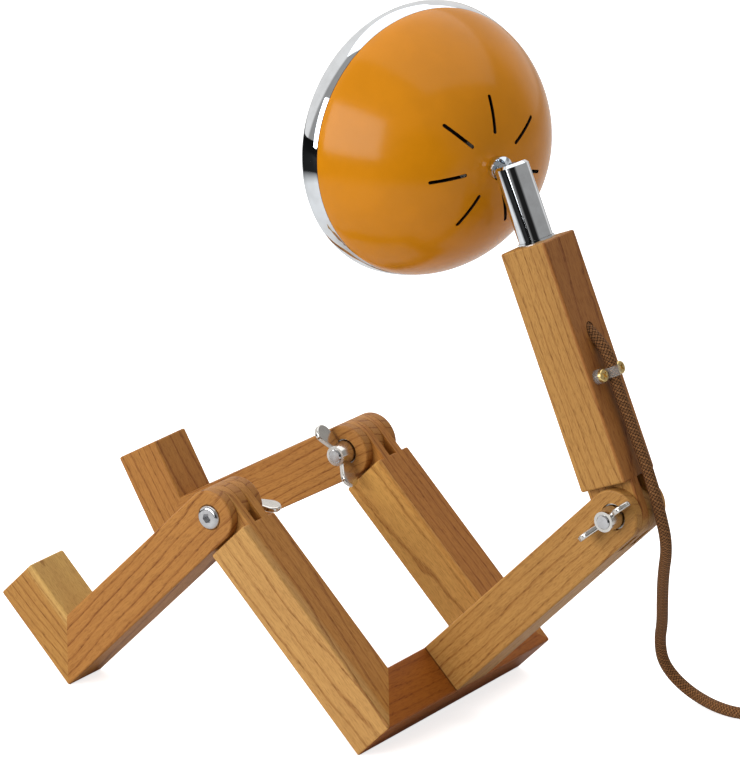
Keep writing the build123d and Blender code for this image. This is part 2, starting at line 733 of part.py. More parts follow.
def clip():
    """Clear saddle over the cord with a screw through the boss at each end."""
    cord_out = cord_radius + clip_cord_lift
    outer = clip_inner + clip_wall
    middle = Plane(
        origin=upper_back_plane.from_local_coords(Vector(half, clip_up, 0)),
        x_dir=x_axis,
        z_dir=up_back,
    )
    lift = -1 if middle.y_dir.dot(angle_direction(upper_back_lean)) < 0 else 1
    over_cord = Pos(0, lift * cord_out)
    beside_cord = Pos(0, lift * cord_out / 2)
    arch = over_cord * Circle(outer) + beside_cord * Rectangle(2 * outer, cord_out)
    hollow = over_cord * Circle(clip_inner) + beside_cord * Rectangle(2 * clip_inner, cord_out + 2 * past)
    band = extrude(arch - hollow, clip_width / 2, both=True)
    solid = middle.location * band
    for side in (-1, 1):
        boss = rod(clip_boss_radius, 0, clip_boss_height) - under_arch(side)
        solid += clip_place(side) * boss
        solid -= clip_place(side) * rod(clip_screw_radius + fit_gap, -past, clip_boss_height + past)
        solid -= clip_place(side) * rod(clip_head_radius + fit_gap, clip_boss_height, beam)
    solid -= middle.location * Pos(0, -lift * beam) * Box(2 * beam, 2 * beam, beam)
    save(solid, "cord_clip")
    names = {-1: "right", 1: "left"}
    for side in (-1, 1):
        screw = rod(clip_screw_radius, face_gap - clip_screw_length, clip_boss_height)
        head = rod(clip_head_radius, clip_boss_height, clip_boss_height + clip_head_height)
        head = fillet(head.edges().group_by(Axis.Z)[-1], clip_head_round)
        screw += head
        top = clip_boss_height + clip_head_height
        for turn in (45, 135):
            slot = Box(cross_slot_length, cross_slot_width, 2 * cross_slot_depth)
            screw -= Pos(0, 0, top) * Rot(0, 0, turn) * slot
        save(clip_place(side) * screw, "clip_screw_" + names[side])


def under_arch(side):
    """The part of a boss that would reach under the saddle's arch."""
    near = side * (clip_inner - clip_screw_out)
    return Pos(near - side * beam / 2, 0, beam / 2 - past) * Box(beam, beam, beam)


# Cord, switch, coil and plug
def on_seat_middle(points):
    """Points whose X is counted from the middle of the seat, in the lamp's frame."""
    return [Vector(hip.X + x, y, z) for x, y, z in points]


def route_radii(points):
    """Arc radius at each inner point: 0.45 of the shorter run over the tangent of half the turn."""
    radii = []
    for a, b, c in zip(points, points[1:], points[2:]):
        before = b - a
        after = c - b
        turn = radians(before.get_angle(after))
        radii.append(0.45 * min(before.length, after.length) / tan(turn / 2))
    return radii


def tube(route, name):
    """The cord along a route, checked by its volume."""
    points = on_seat_middle(route)
    radii = route_radii(points)
    print(name, "radii", [round(r, 1) for r in radii])
    path = FilletPolyline(*points, radius=radii)
    start = Plane(origin=path @ 0, z_dir=path % 0)
    solid = sweep(start * Circle(cord_radius), path=path)
    expected = pi * cord_radius ** 2 * path.length
    print(name, "length", round(path.length, 1), "volume ratio", round(solid.volume / expected, 5))
    return solid


def run_cut(index):
    """Plane across the cord in the middle of one run of its route."""
    a, b = on_seat_middle(cord_route[index:index + 2])
    return Plane(origin=(a + b) / 2, z_dir=(a - b).normalized())


def cord():
    """The cord's three stretches before the switch, and its two leads after it."""
    whole = tube(cord_route, "cord")
    upper_cut, lower_cut = [run_cut(index) for index in cord_cuts]
    save(split(whole, bisect_by=upper_cut, keep=Keep.TOP), "cord_on_back")
    rest = split(whole, bisect_by=upper_cut, keep=Keep.BOTTOM)
    save(split(rest, bisect_by=lower_cut, keep=Keep.TOP), "cord_at_waist")
    save(split(rest, bisect_by=lower_cut, keep=Keep.BOTTOM), "cord_to_switch")
    save(tube(lead_route, "lead"), "cord_to_coil")
    save(tube(plug_route, "plug lead"), "cord_to_plug")


def coil():
    """Outer shape of the wound cord, and the tie around it."""
    reach = coil_turns * cord_radius
    inner = coil_middle_radius - reach
    outer = coil_middle_radius + reach
    height = 4 * cord_radius
    ring_body = rod(outer, 0, height, inner)
    ring_body = fillet(ring_body.edges(), coil_round)
    centre = Pos(hip.X + coil_x, coil_y, 0)
    save(centre * ring_body, "cord_coil")
    wide = 2 * reach + 2 * tie_thickness
    loop = block(-wide / 2, wide / 2, -tie_width / 2, tie_width / 2, 0, height + tie_thickness)
    loop -= block(-reach, reach, -tie_width, tie_width, tie_thickness, height)
    save(centre * Rot(0, 0, tie_turn) * Pos(coil_middle_radius, 0, 0) * loop, "cord_tie")


def switch():
    """In-line rocker switch that lies flat on the floor."""
    start = on_seat_middle(cord_route)[-1]
    body = Box(switch_width, switch_length, switch_height)
    body = fillet(body.edges().filter_by(Axis.Z), switch_corner_round)
    body = fillet(body.edges().group_by(Axis.Z)[-1], switch_edge_round)
    pocket_x = rocker_width + 2 * rocker_gap
    pocket_y = rocker_length + 2 * rocker_gap
    top = switch_height / 2
    body -= Pos(0, 0, top) * Box(pocket_x, pocket_y, 2 * rocker_depth)
    pivot = top - rocker_depth / 2
    pin_reach = pocket_x + 2 * rocker_pin_length
    hole_reach = pin_reach + 2 * face_gap
    body -= Pos(0, 0, pivot) * Rot(0, 90, 0) * Cylinder(rocker_pin_radius + pivot_gap, hole_reach)
    place = Pos(start.X, start.Y + switch_length / 2, switch_height / 2)
    save(place * body, "switch_housing")

    reach = rocker_length / 2
    foot = pivot - rocker_foot
    crown = top + rocker_proud
    outline = [
        (rocker_foot_inset - reach, foot),
        (reach - rocker_foot_inset, foot),
        (reach - rocker_crown_inset, crown),
        (0, crown - reach * tan(radians(rocker_tilt))),
        (rocker_crown_inset - reach, crown),
    ]
    side = make_face(Polyline(*outline, close=True))
    rocker = extrude(Plane.YZ * side, rocker_width / 2, both=True)
    rocker += Pos(0, 0, pivot) * Rot(0, 90, 0) * Cylinder(rocker_pin_radius, pin_reach)
    rocker = Pos(0, 0, pivot) * Rot(rocker_tilt, 0, 0) * Pos(0, 0, -pivot) * rocker
    save(place * rocker, "switch_rocker")
    print("rocker pivot", (place * Pos(0, 0, pivot)).position)


def plug():
    """Flat two-pin plug beside the coil, with its sleeve round the cord's end."""
    end = on_seat_middle(plug_route)[-1]
    body_back = end.Y - plug_sleeve_length
    body = Box(plug_body_width, plug_body_length, 2 * end.Z)
    body = fillet(body.edges().filter_by(Axis.Y), plug_edge_round)
    body = chamfer(body.edges().group_by(Axis.Y)[-1], plug_back_chamfer)
    body = Pos(end.X, body_back - plug_body_length / 2, end.Z) * body
    sleeve_plane = Plane(origin=(end.X, body_back - past, end.Z), z_dir=(0, 1, 0))
    length = plug_sleeve_length + past
    sleeve = Pos(0, 0, length / 2) * Cone(plug_sleeve_radius, cord_radius + plug_sleeve_wall, length)
    save(body + sleeve_plane.location * sleeve, "plug_body")
    names = {-1: "plug_pin_right", 1: "plug_pin_left"}
    for side in (-1, 1):
        spot = Plane(
            origin=(end.X + side * pin_spacing / 2, body_back - plug_body_length, end.Z),
            z_dir=(0, -1, 0),
        )
        pin = rod(pin_radius, 0, pin_length)
        pin = fillet(pin.edges().group_by(Axis.Z)[-1], pin_tip_round)
        save(spot.location * pin, names[side])


def main():
    os.makedirs("parts", exist_ok=True)
    print("hip", hip, "knee", knee, "waist", waist, "ball", ball)
    print("left shin lean", left_shin_lean)
    print("up_back", up_back, "shade axis", shade_axis, "tilt axis", tilt_axis)
    seat_frame()
    for place, name in ((-1, "dowel_right"), (1, "dowel_left")):
        save(seat_plane.location * dowel(place, dowel_radius), name)
    lower_back()
    upper_back()
    leg(left_shin_plane, leg_out, -1, "left")
    leg(right_shin_plane, -leg_out, 1, "right")
    bolt(left_shin_plane, leg_out, -1, (0, 0), "left_knee_bolt")
    bolt(right_shin_plane, -leg_out, 1, (0, 0), "right_knee_bolt")
    bolt(lower_back_plane, 0, 1, (0, lower_back_reach), "waist_bolt")
    washer(left_shin_plane, leg_out, -1, (0, 0), "left_knee_washer")
    washer(right_shin_plane, -leg_out, 1, (0, 0), "right_knee_washer")
    washer(lower_back_plane, 0, 1, (0, lower_back_reach), "waist_washer")
    wing_nut(knee, leg_out, -1, left_wing_turn, "left_knee_wing_nut")
    wing_nut(knee, -leg_out, 1, right_wing_turn, "right_knee_wing_nut")
    wing_nut(waist, 0, 1, waist_wing_turn, "waist_wing_nut")
    neck()
    ball_arm()
    dome()
    ring()
    holder_and_bulb()
    clip()
    cord()
    switch()
    coil()
    plug()


if __name__ == "__main__":
    main()
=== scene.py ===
"""A jointed wooden desk lamp that sits with its knees up, finished over its fixed frame."""
import json
from math import cos, pi, radians, sin

import bmesh
import bpy
from bpy.props import FloatProperty, FloatVectorProperty, IntProperty, PointerProperty
from mathutils import Matrix, Vector


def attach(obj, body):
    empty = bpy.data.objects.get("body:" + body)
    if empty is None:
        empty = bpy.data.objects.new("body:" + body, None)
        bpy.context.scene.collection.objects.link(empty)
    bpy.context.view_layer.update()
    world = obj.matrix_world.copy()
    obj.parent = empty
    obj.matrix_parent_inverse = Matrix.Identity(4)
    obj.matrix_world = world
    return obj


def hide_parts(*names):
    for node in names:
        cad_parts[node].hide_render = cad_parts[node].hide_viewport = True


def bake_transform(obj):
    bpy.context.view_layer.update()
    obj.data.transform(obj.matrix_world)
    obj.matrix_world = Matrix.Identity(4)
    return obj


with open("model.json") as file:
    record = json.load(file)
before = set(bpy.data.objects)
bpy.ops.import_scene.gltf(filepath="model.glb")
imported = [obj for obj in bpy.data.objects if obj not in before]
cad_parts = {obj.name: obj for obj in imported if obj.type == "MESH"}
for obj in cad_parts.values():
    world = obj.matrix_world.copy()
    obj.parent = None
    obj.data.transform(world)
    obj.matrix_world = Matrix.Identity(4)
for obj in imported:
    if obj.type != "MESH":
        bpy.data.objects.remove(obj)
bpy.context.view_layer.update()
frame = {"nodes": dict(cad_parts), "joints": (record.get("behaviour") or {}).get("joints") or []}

bl_info = {
    "name": "Jointed desk lamp",
    "version": (1, 0, 0),
    "blender": (4, 5, 0),
    "location": "View3D > Sidebar > Lamp",
    "description": "Finishes a jointed wooden desk lamp: oiled beams, enamel shade, chrome and braided cord",
    "category": "Object",
}

NODES = frame["nodes"]
JOINTS = {joint["name"]: joint for joint in frame["joints"]}
KNEE = Vector(JOINTS["left_knee"]["pos_m"])
WAIST = Vector(JOINTS["waist"]["pos_m"])
BALL = Vector(JOINTS["head_tilt"]["pos_m"])
UP_BACK = Vector(JOINTS["neck_swivel"]["axis"])
SHADE_AXIS = Vector(JOINTS["head_roll"]["axis"])
MIDDLE_X = WAIST.x

# How far the seat and the shins lean from level
SEAT_LEAN = radians(45.6)
SHIN_LEANS = {"left": radians(44.1714), "right": radians(29.5)}

# The dome's outline is a lopsided oval: one exponent for its width, one for its depth
DOME_WIDTH_POWER = 2.31
DOME_DEPTH_POWER = 1.32

# The cord's control points, in millimetres; X is counted from the middle of the seat
CORD_ROUTE = (
    (0, 151.65, 241.7),
    (0, 168.4, 232.8),
    (0, 174.6, 212.3),
    (-1, 184.8, 187.3),
    (-0.5, 195.6, 163.5),
    (-1, 202.6, 141.0),
    (-8, 202.2, 121.5),
    (-25, 189.0, 97.0),
    (-46, 175.5, 72.0),
    (-64.5, 164.0, 52.0),
    (-75.5, 155.5, 37.5),
    (-80.7, 153.8, 23.4),
    (-84.4, 158.2, 13.5),
    (-85.8, 166.8, 6.5),
    (-84.2, 177.4, 3.25),
    (-79.0, 189.5, 3.25),
    (-76.5, 202.0, 3.25),
    (-77.2, 214.0, 4.0),
    (-77.5, 225.5, 6.0),
)
SWITCH_ROUTE = ((-77.7, 245.0, 6.3), (-77.6, 264.0, 6.3))
LEAD_ROUTE = ((-77.5, 283.5, 6.0), (-77.3, 290.5, 5.2), (-76.8, 298.5, 3.8), (-76.5, 305.5, 3.25))
PLUG_ROUTE = ((-160.5, 303.5, 9.75), (-161.1, 294.5, 8.9), (-161.5, 284.5, 7.5), (-161.4, 275.5, 6.85))
COIL_CENTRE = (-118.5, 322.0)
COIL_RADII = (42.0, 35.5, 29.0)
COIL_LAYERS = (3.25, 9.75)


def millimetres(property_name, text, size):
    """A length the user can set, kept in metres."""
    return FloatProperty(
        name=property_name, description=text, default=size / 1000, unit="LENGTH", subtype="DISTANCE"
    )


def finish_colour(property_name, text, colour):
    """A colour the user can set."""
    return FloatVectorProperty(
        name=property_name, description=text, default=colour, subtype="COLOR", min=0, max=1
    )


def watts(property_name, text, power):
    """A light's power the user can set."""
    return FloatProperty(name=property_name, description=text, default=power, unit="POWER")


class LampSizes(bpy.types.PropertyGroup):
    """Sizes of the shade and the cord."""

    cord_diameter: millimetres("Cord diameter", "Outside of the cord's braided sleeve", 6.5)
    cord_length: millimetres("Cord length", "Cord from the upper back to the plug", 1740)
    dome_radius: millimetres("Dome radius", "Outside radius of the shade's dome", 74.3)
    dome_depth: millimetres("Dome depth", "From the dome's apex to its widest place", 59.9)
    dome_wall: millimetres("Dome wall", "Thickness of the dome's sheet", 1.0)
    dome_apex: millimetres("Dome apex", "From the neck's ball to the dome's apex", 17.36)
    skirt_inset: millimetres("Skirt inset", "Step from the dome to the skirt inside the ring", 0.8)
    skirt_end: millimetres("Skirt end", "From the dome's apex to the end of its skirt", 72.0)
    arm_hole: millimetres("Arm hole", "Radius of the hole for the arm", 3.08)
    vent_count: IntProperty(name="Vents", description="Radial vents round the apex", default=7, min=1)
    vent_start: millimetres("Vent start", "Inner end of a vent from the shade's axis", 17.3)
    vent_end: millimetres("Vent end", "Outer end of a vent from the shade's axis", 37.3)
    vent_width: millimetres("Vent width", "Width of a vent", 2.0)
    vent_turn: FloatProperty(
        name="Vent turn",
        description="First vent's direction from upright",
        default=radians(5),
        subtype="ANGLE",
    )
    ring_start: millimetres("Ring start", "From the dome's apex to the ring's rear edge", 60.4)
    ring_radius: millimetres("Ring radius", "Outside radius of the ring", 76.5)
    ring_front: millimetres("Ring front", "From the dome's apex to the ring's front", 74.0)
    ring_round: millimetres("Ring rounding", "Rounding of the ring's front edge", 3.5)
    ring_wall: millimetres("Ring wall", "Thickness of the ring's rear edge", 1.0)


class LampFinishes(bpy.types.PropertyGroup):
    """Colours of the main finishes and strengths of the lights."""

    wood_light: finish_colour("Wood, light", "Oiled wood between its grain lines", (0.475, 0.245, 0.064))
    wood_dark: finish_colour("Wood, dark", "Oiled wood in its grain lines", (0.245, 0.092, 0.019))
    enamel: finish_colour("Enamel", "The dome's glossy enamel", (0.625, 0.228, 0.005))
    enamel_inside: finish_colour("Enamel inside", "The dome's white inside", (0.85, 0.84, 0.80))
    # The braid's darkest colour fills the gaps between strands: painted shade
    cord_gap_shade: finish_colour("Cord sleeve", "The braid's dark strands", (0.028, 0.012, 0.005))
    cord_strand: finish_colour("Cord strands", "The braid's light strands", (0.330, 0.150, 0.056))
    dark_plastic: finish_colour("Dark plastic", "Switch, plug and tie", (0.060, 0.034, 0.020))
    key_power: watts("Key light", "Power of the large light at the lamp's side", 24.0)
    top_power: watts("Top light", "Power of the light overhead", 38.0)
    surround: FloatProperty(
        name="Surround", description="Brightness of the room's walls", default=0.36, min=0
    )


def sizes():
    return bpy.context.scene.lamp_sizes


def finishes():
    return bpy.context.scene.lamp_finishes


# Node building
class Bench:
    """Places nodes in one tree and wires them."""

    def __init__(self, tree):
        self.tree = tree

    def put(self, kind, feeds=None, **settings):
        """Place a node, set its properties and feed its named inputs."""
        node = self.tree.nodes.new(kind)
        for name, value in settings.items():
            setattr(node, name, value)
        for name, value in (feeds or {}).items():
            self.feed(value, node.inputs[name])
        return node

    def feed(self, value, socket):
        """Wire a socket or a node's first output to an input, or set the input to a plain value."""
        if isinstance(value, bpy.types.Node):
            value = value.outputs[0]
        if isinstance(value, bpy.types.NodeSocket):
            self.tree.links.new(value, socket)
        else:
            socket.default_value = value

    def feed_in_order(self, node, values):
        for value, socket in zip(values, node.inputs):
            self.feed(value, socket)
        return node.outputs

    def maths(self, operation, *values, clamp=False):
        node = self.put("ShaderNodeMath", operation=operation, use_clamp=clamp)
        return self.feed_in_order(node, values)[0]

    def plus(self, *values, clamp=False):
        return self.maths("ADD", *values, clamp=clamp)

    def times(self, *values):
        return self.maths("MULTIPLY", *values)

    def vector(self, operation, *values):
        node = self.put("ShaderNodeVectorMath", operation=operation)
        outputs = self.feed_in_order(node, values)
        return outputs["Value" if operation in ("LENGTH", "DOT_PRODUCT") else "Vector"]

    def span(self, value, low, high, to_low=0.0, to_high=1.0, smooth=False):
        """Map a value from one range to another, clamped."""
        kind = "SMOOTHSTEP" if smooth else "LINEAR"
        node = self.put("ShaderNodeMapRange", interpolation_type=kind, clamp=True)
        return self.feed_in_order(node, (value, low, high, to_low, to_high))["Result"]

    def noise(self, vector, scale=1.0, detail=2.0, roughness=0.5):
        feeds = {"Vector": vector, "Scale": scale, "Detail": detail, "Roughness": roughness}
        return self.put("ShaderNodeTexNoise", feeds).outputs["Fac"]

    def blend(self, factor, low, high):
        """Mix two colours, through the sockets that the mix node keeps for colours."""
        node = self.put("ShaderNodeMix", data_type="RGBA")
        for value, index in zip((factor, low, high), (0, 6, 7)):
            self.feed(value, node.inputs[index])
        return node.outputs[2]

    def scaled(self, vector, x, y, z):
        """A vector stretched along each axis."""
        return self.vector("MULTIPLY", vector, (x, y, z))

    def split(self, vector):
        """A vector's three parts, by axis."""
        return self.put("ShaderNodeSeparateXYZ", {"Vector": vector}).outputs

    def combine(self, **parts):
        """A vector of the parts given, by axis."""
        return self.put("ShaderNodeCombineXYZ", parts).outputs[0]


def colour4(colour, share=1.0):
    """A colour made lighter or darker by a share, with full alpha."""
    return (colour[0] * share, colour[1] * share, colour[2] * share, 1.0)


def new_socket(tree, label, side, kind):
    return tree.interface.new_socket(name=label, in_out=side, socket_type="NodeSocket" + kind)


def new_group(name, inputs, outputs, kind="ShaderNodeTree"):
    """A node tree with named sockets; returns it with its bench and its socket holders."""
    tree = bpy.data.node_groups.new(name, kind)
    for label, socket_kind, *default in inputs:
        socket = new_socket(tree, label, "INPUT", socket_kind)
        if default:
            socket.default_value = default[0]
    for label, socket_kind in outputs:
        new_socket(tree, label, "OUTPUT", socket_kind)
    bench = Bench(tree)
    return tree, bench, bench.put("NodeGroupInput").outputs, bench.put("NodeGroupOutput").inputs


def grain_group(name):
    """Oiled ring-porous wood: growth rings, rows of pores, fine fibres and slow changes of tone."""
    inputs = (
        ("Beam Vector", "Vector"),
        ("Light", "Color", colour4(finishes().wood_light)),
        ("Dark", "Color", colour4(finishes().wood_dark)),
        ("Ring Spacing", "Float", 0.0055),
        ("Ring Strength", "Float", 0.42),
        ("Pith Side", "Float", 0.05),
        ("Pith Depth", "Float", 0.03),
    )
    outputs = (("Color", "Color"), ("Roughness", "Float"), ("Height", "Float"))
    tree, bench, source, result = new_group(name, inputs, outputs)
    place = source["Beam Vector"]
    slow = bench.noise(bench.scaled(place, 24, 24, 4.5))
    wander = bench.noise(bench.scaled(place, 90, 90, 32))
    # Rings round a pith that lies beside the beam and runs a little askew to it
    parts = bench.split(place)
    across = bench.plus(parts["X"], source["Pith Side"])
    deep = bench.plus(parts["Y"], source["Pith Depth"])
    deep = bench.plus(deep, bench.times(parts["Z"], 0.05))
    across = bench.times(across, across)
    deep = bench.times(deep, deep)
    reach = bench.maths("SQRT", bench.plus(across, deep))
    rings = bench.maths("DIVIDE", reach, source["Ring Spacing"])
    rings = bench.plus(rings, bench.times(slow, 3.2))
    rings = bench.plus(rings, bench.times(wander, 0.55))
    phase = bench.maths("FRACT", rings)
    rise = bench.span(phase, 0.0, 0.07, smooth=True)
    fall = bench.span(phase, 0.06, 0.30, 1.0, 0.0, smooth=True)
    line = bench.times(rise, fall)
    fade = bench.noise(bench.scaled(place, 90, 90, 11), detail=1.0)
    band = bench.times(line, bench.span(fade, 0.32, 0.62, 0.55, 1.0))
    fibre = bench.noise(bench.scaled(place, 1500, 1500, 110), detail=3.0, roughness=0.6)
    streak = bench.noise(bench.scaled(place, 260, 260, 8))
    pore = bench.noise(bench.scaled(place, 2300, 2300, 290), detail=1.0)
    pore = bench.times(bench.span(pore, 0.52, 0.66), bench.span(band, 0.0, 0.8, 0.45, 1.0))
    tone = bench.times(band, source["Ring Strength"])
    tone = bench.plus(tone, bench.span(fibre, 0.3, 0.7, -0.12, 0.20))
    tone = bench.plus(tone, bench.span(streak, 0.3, 0.7, 0.0, 0.18))
    tone = bench.plus(tone, bench.span(slow, 0.35, 0.65, -0.06, 0.16), clamp=True)
    colour = bench.blend(tone, source["Light"], source["Dark"])
    shade = bench.vector("MULTIPLY", source["Dark"], (0.45, 0.34, 0.28))
    colour = bench.blend(bench.times(pore, 0.62), colour, shade)
    bench.feed(colour, result["Color"])
    rough = bench.span(fibre, 0.2, 0.8, 0.38, 0.50)
    rough = bench.plus(rough, bench.times(pore, 0.2))
    bench.feed(rough, result["Roughness"])
    height = bench.maths("SUBTRACT", bench.times(fibre, 0.3), pore)
    bench.feed(height, result["Height"])
    return tree


def handling_group(name):
    """Marks of handling on smooth pieces: broad smudges, fine scratches and specks."""
    inputs = (
        ("Vector", "Vector"),
        ("Smudge Size", "Float", 0.02),
        ("Grit Size", "Float", 0.0007),
    )
    outputs = (("Smudge", "Float"), ("Scratch", "Float"), ("Grit", "Float"))
    tree, bench, source, result = new_group(name, inputs, outputs)
    place = source["Vector"]
    broad = bench.noise(place, bench.maths("DIVIDE", 1.0, source["Smudge Size"]), 4.0, 0.6)
    bench.feed(bench.span(broad, 0.35, 0.7, smooth=True), result["Smudge"])
    bent = bench.vector("ADD", place, bench.scaled(place, 0.3, -0.2, 0.25))
    lines = bench.noise(bench.scaled(bent, 2600, 90, 700))
    bench.feed(bench.span(lines, 0.66, 0.74), result["Scratch"])
    grit = bench.noise(place, bench.maths("DIVIDE", 1.0, source["Grit Size"]))
    bench.feed(grit, result["Grit"])
    return tree


def braid_group(name):
    """A round braid read from a cord's own UV map: two families of strands that cross."""
    inputs = (
        ("Cord UV", "Vector"),
        ("Strands Round", "Float", 8.0),
        ("Strands Along", "Float", 10.0),
    )
    outputs = (("Light Strand", "Float"), ("Height", "Float"), ("Thread", "Float"))
    tree, bench, source, result = new_group(name, inputs, outputs)
    parts = bench.split(source["Cord UV"])
    around = bench.times(parts["X"], source["Strands Round"])
    along = bench.times(parts["Y"], source["Strands Along"])
    left = bench.plus(around, along)
    right = bench.maths("SUBTRACT", around, along)
    # Strands of the two families take turns to lie on top, each with a round crown
    crowns = [bench.maths("ABSOLUTE", bench.maths("SINE", bench.times(way, pi))) for way in (left, right)]
    checks = bench.plus(bench.maths("FLOOR", left), bench.maths("FLOOR", right))
    over = bench.maths("FLOORED_MODULO", checks, 2.0)
    crown = bench.put("ShaderNodeMix", data_type="FLOAT")
    for value, index in zip((over, *crowns), (0, 2, 3)):
        bench.feed(value, crown.inputs[index])
    threads = bench.times(bench.plus(around, parts["Y"]), 60.0)
    bench.feed(bench.span(bench.maths("SINE", threads), -1.0, 1.0), result["Thread"])
    other = bench.maths("FLOORED_MODULO", bench.maths("FLOOR", left), 2.0)
    # Light on each strand's crown, painted shade in the gaps between strands; every other band a little
    # darker
    light = bench.times(bench.span(crown, 0.3, 0.85), bench.span(other, 0.0, 1.0, 0.75, 1.0))
    bench.feed(light, result["Light Strand"])
    bench.feed(crown, result["Height"])
    return tree


def place_group(bench, name, build, feeds):
    """Place a shared node group, which is built the first time that a material asks for it."""
    tree = bpy.data.node_groups.get(name) or build(name)
    return bench.put("ShaderNodeGroup", feeds, node_tree=tree).outputs


def new_material(name):
    """An empty material; returns it with its bench and its principled shader's sockets."""
    material = bpy.data.materials.new(name)
    material.use_nodes = True
    material.node_tree.nodes.clear()
    bench = Bench(material.node_tree)
    shader = bench.put("ShaderNodeBsdfPrincipled")
    bench.put("ShaderNodeOutputMaterial", {"Surface": shader})
    return material, bench, shader.inputs


def relief(bench, shader, height, depth, strength):
    """Bump the surface by a height whose full swing is depth metres."""
    feeds = {"Strength": strength, "Distance": depth, "Height": height}
    bench.feed(bench.put("ShaderNodeBump", feeds), shader["Normal"])


def object_vector(bench):
    return bench.put("ShaderNodeTexCoord").outputs["Object"]


def handled(bench, smudge, grit):
    """The handling marks on a piece's own coordinates."""
    feeds = {"Vector": object_vector(bench), "Smudge Size": smudge, "Grit Size": grit}
    return place_group(bench, "Handling marks", handling_group, feeds)


def coat(bench, shader, marks, clean, dull, smooth, rough, scratch=0.0):
    """Colour and roughness that change where a piece is smudged, rougher in its scratches."""
    bench.feed(bench.blend(marks["Smudge"], clean, dull), shader["Base Color"])
    roughness = bench.span(marks["Smudge"], 0.0, 1.0, smooth, rough)
    if scratch:
        roughness = bench.plus(roughness, bench.times(marks["Scratch"], scratch))
    bench.feed(roughness, shader["Roughness"])


# Finishes
def oiled_wood(name, origin, along, side, tint, seed, pith, strength, face_tones_and_shading):
    """Oiled wood whose grain runs along one beam; tint warms, pales or darkens both tones.

    Each layer lies under one face: the face's direction, where the layer starts and ends that way,
    and what it multiplies the colour by. Some layers are painted light and some painted shade, on faces
    turned to or from the lamps; one is a painted shadow in a joint, and one only makes a face paler.
    """
    material, bench, shader = new_material(name)
    feeds = {
        "Location": origin - along.normalized() * seed,
        "Rotation": frame_matrix(origin, along, side).to_euler(),
        "Vector": object_vector(bench),
    }
    mapping = bench.put("ShaderNodeMapping", feeds, vector_type="TEXTURE")
    feeds = {
        "Beam Vector": mapping,
        "Ring Strength": strength,
        "Pith Side": pith[0],
        "Pith Depth": pith[1],
    }
    for label, tone in (("Light", finishes().wood_light), ("Dark", finishes().wood_dark)):
        feeds[label] = [min(part * share, 1) for part, share in zip(tone, tint)] + [1]
    grain = place_group(bench, "Oiled grain", grain_group, feeds)
    colour = grain["Color"]
    # Painted light, painted shade and a painted shadow in a joint, each under its own face; one face only
    # paler
    for direction, inner, outer, gain in face_tones_and_shading:
        reach = bench.vector("DOT_PRODUCT", object_vector(bench), direction)
        share = bench.span(reach, inner, outer, smooth=True)
        colour = bench.blend(share, colour, bench.vector("MULTIPLY", colour, gain))
    bench.feed(colour, shader["Base Color"])
    bench.feed(grain["Roughness"], shader["Roughness"])
    bench.feed(0.2, shader["Specular IOR Level"])
    relief(bench, shader, grain["Height"], 0.00006, 0.45)
    return material


def glossy_enamel(name, colour, roughness):
    """Stoved enamel: deep gloss with a very slight orange peel."""
    material, bench, shader = new_material(name)
    marks = handled(bench, 0.03, 0.0022)
    clean, dull = colour4(colour, 0.95), colour4(colour, 1.03)
    coat(bench, shader, marks, clean, dull, roughness, roughness + 0.04)
    bench.feed(0.22, shader["Specular IOR Level"])
    relief(bench, shader, marks["Grit"], 0.00001, 0.2)
    return material


def polished_chrome(name):
    """Bright plated metal with faint smudges."""
    material, bench, shader = new_material(name)
    marks = handled(bench, 0.012, 0.0006)
    clean, dull = (0.79, 0.84, 0.89, 1), (0.70, 0.74, 0.78, 1)
    coat(bench, shader, marks, clean, dull, 0.015, 0.045, 0.04)
    bench.feed(1.0, shader["Metallic"])
    relief(bench, shader, marks["Scratch"], 0.000004, 0.15)
    return material


def plated_steel(name, colour, roughness):
    """Zinc or nickel plated hardware with rubbed places and small scratches."""
    material, bench, shader = new_material(name)
    marks = handled(bench, 0.009, 0.0004)
    clean, dull = colour4(colour, 1.06), colour4(colour, 0.86)
    coat(bench, shader, marks, clean, dull, roughness, roughness + 0.10, 0.05)
    bench.feed(1.0, shader["Metallic"])
    height = bench.maths("SUBTRACT", bench.times(marks["Grit"], 0.6), marks["Scratch"])
    relief(bench, shader, height, 0.000002, 0.06)
    return material


def moulded_plastic(name, colour, roughness):
    """Moulded plastic with a fine spark texture and a little shine where it is handled."""
    material, bench, shader = new_material(name)
    marks = handled(bench, 0.015, 0.0004)
    clean, worn = colour4(colour, 0.86), colour4(colour, 1.12)
    coat(bench, shader, marks, clean, worn, roughness + 0.08, roughness - 0.08)
    relief(bench, shader, marks["Grit"], 0.00003, 0.5)
    return material


def clear_plastic(name):
    """Clear moulded plastic with faint smudges."""
    material, bench, shader = new_material(name)
    marks = handled(bench, 0.004, 0.0008)
    coat(bench, shader, marks, (0.92, 0.92, 0.90, 1), (0.82, 0.82, 0.80, 1), 0.04, 0.12)
    bench.feed(bench.span(marks["Smudge"], 0.0, 1.0, 0.13, 0.20), shader["Alpha"])
    bench.feed(1.0, shader["Specular IOR Level"])
    return material


def opal_glass(name):
    """Frosted bulb glass."""
    material, bench, shader = new_material(name)
    marks = handled(bench, 0.02, 0.0006)
    clean, dull = (0.94, 0.93, 0.90, 1), (0.88, 0.87, 0.84, 1)
    bench.feed(bench.blend(marks["Smudge"], clean, dull), shader["Base Color"])
    bench.feed(bench.span(marks["Grit"], 0.3, 0.7, 0.24, 0.34), shader["Roughness"])
    bench.feed(0.35, shader["Transmission Weight"])
    return material


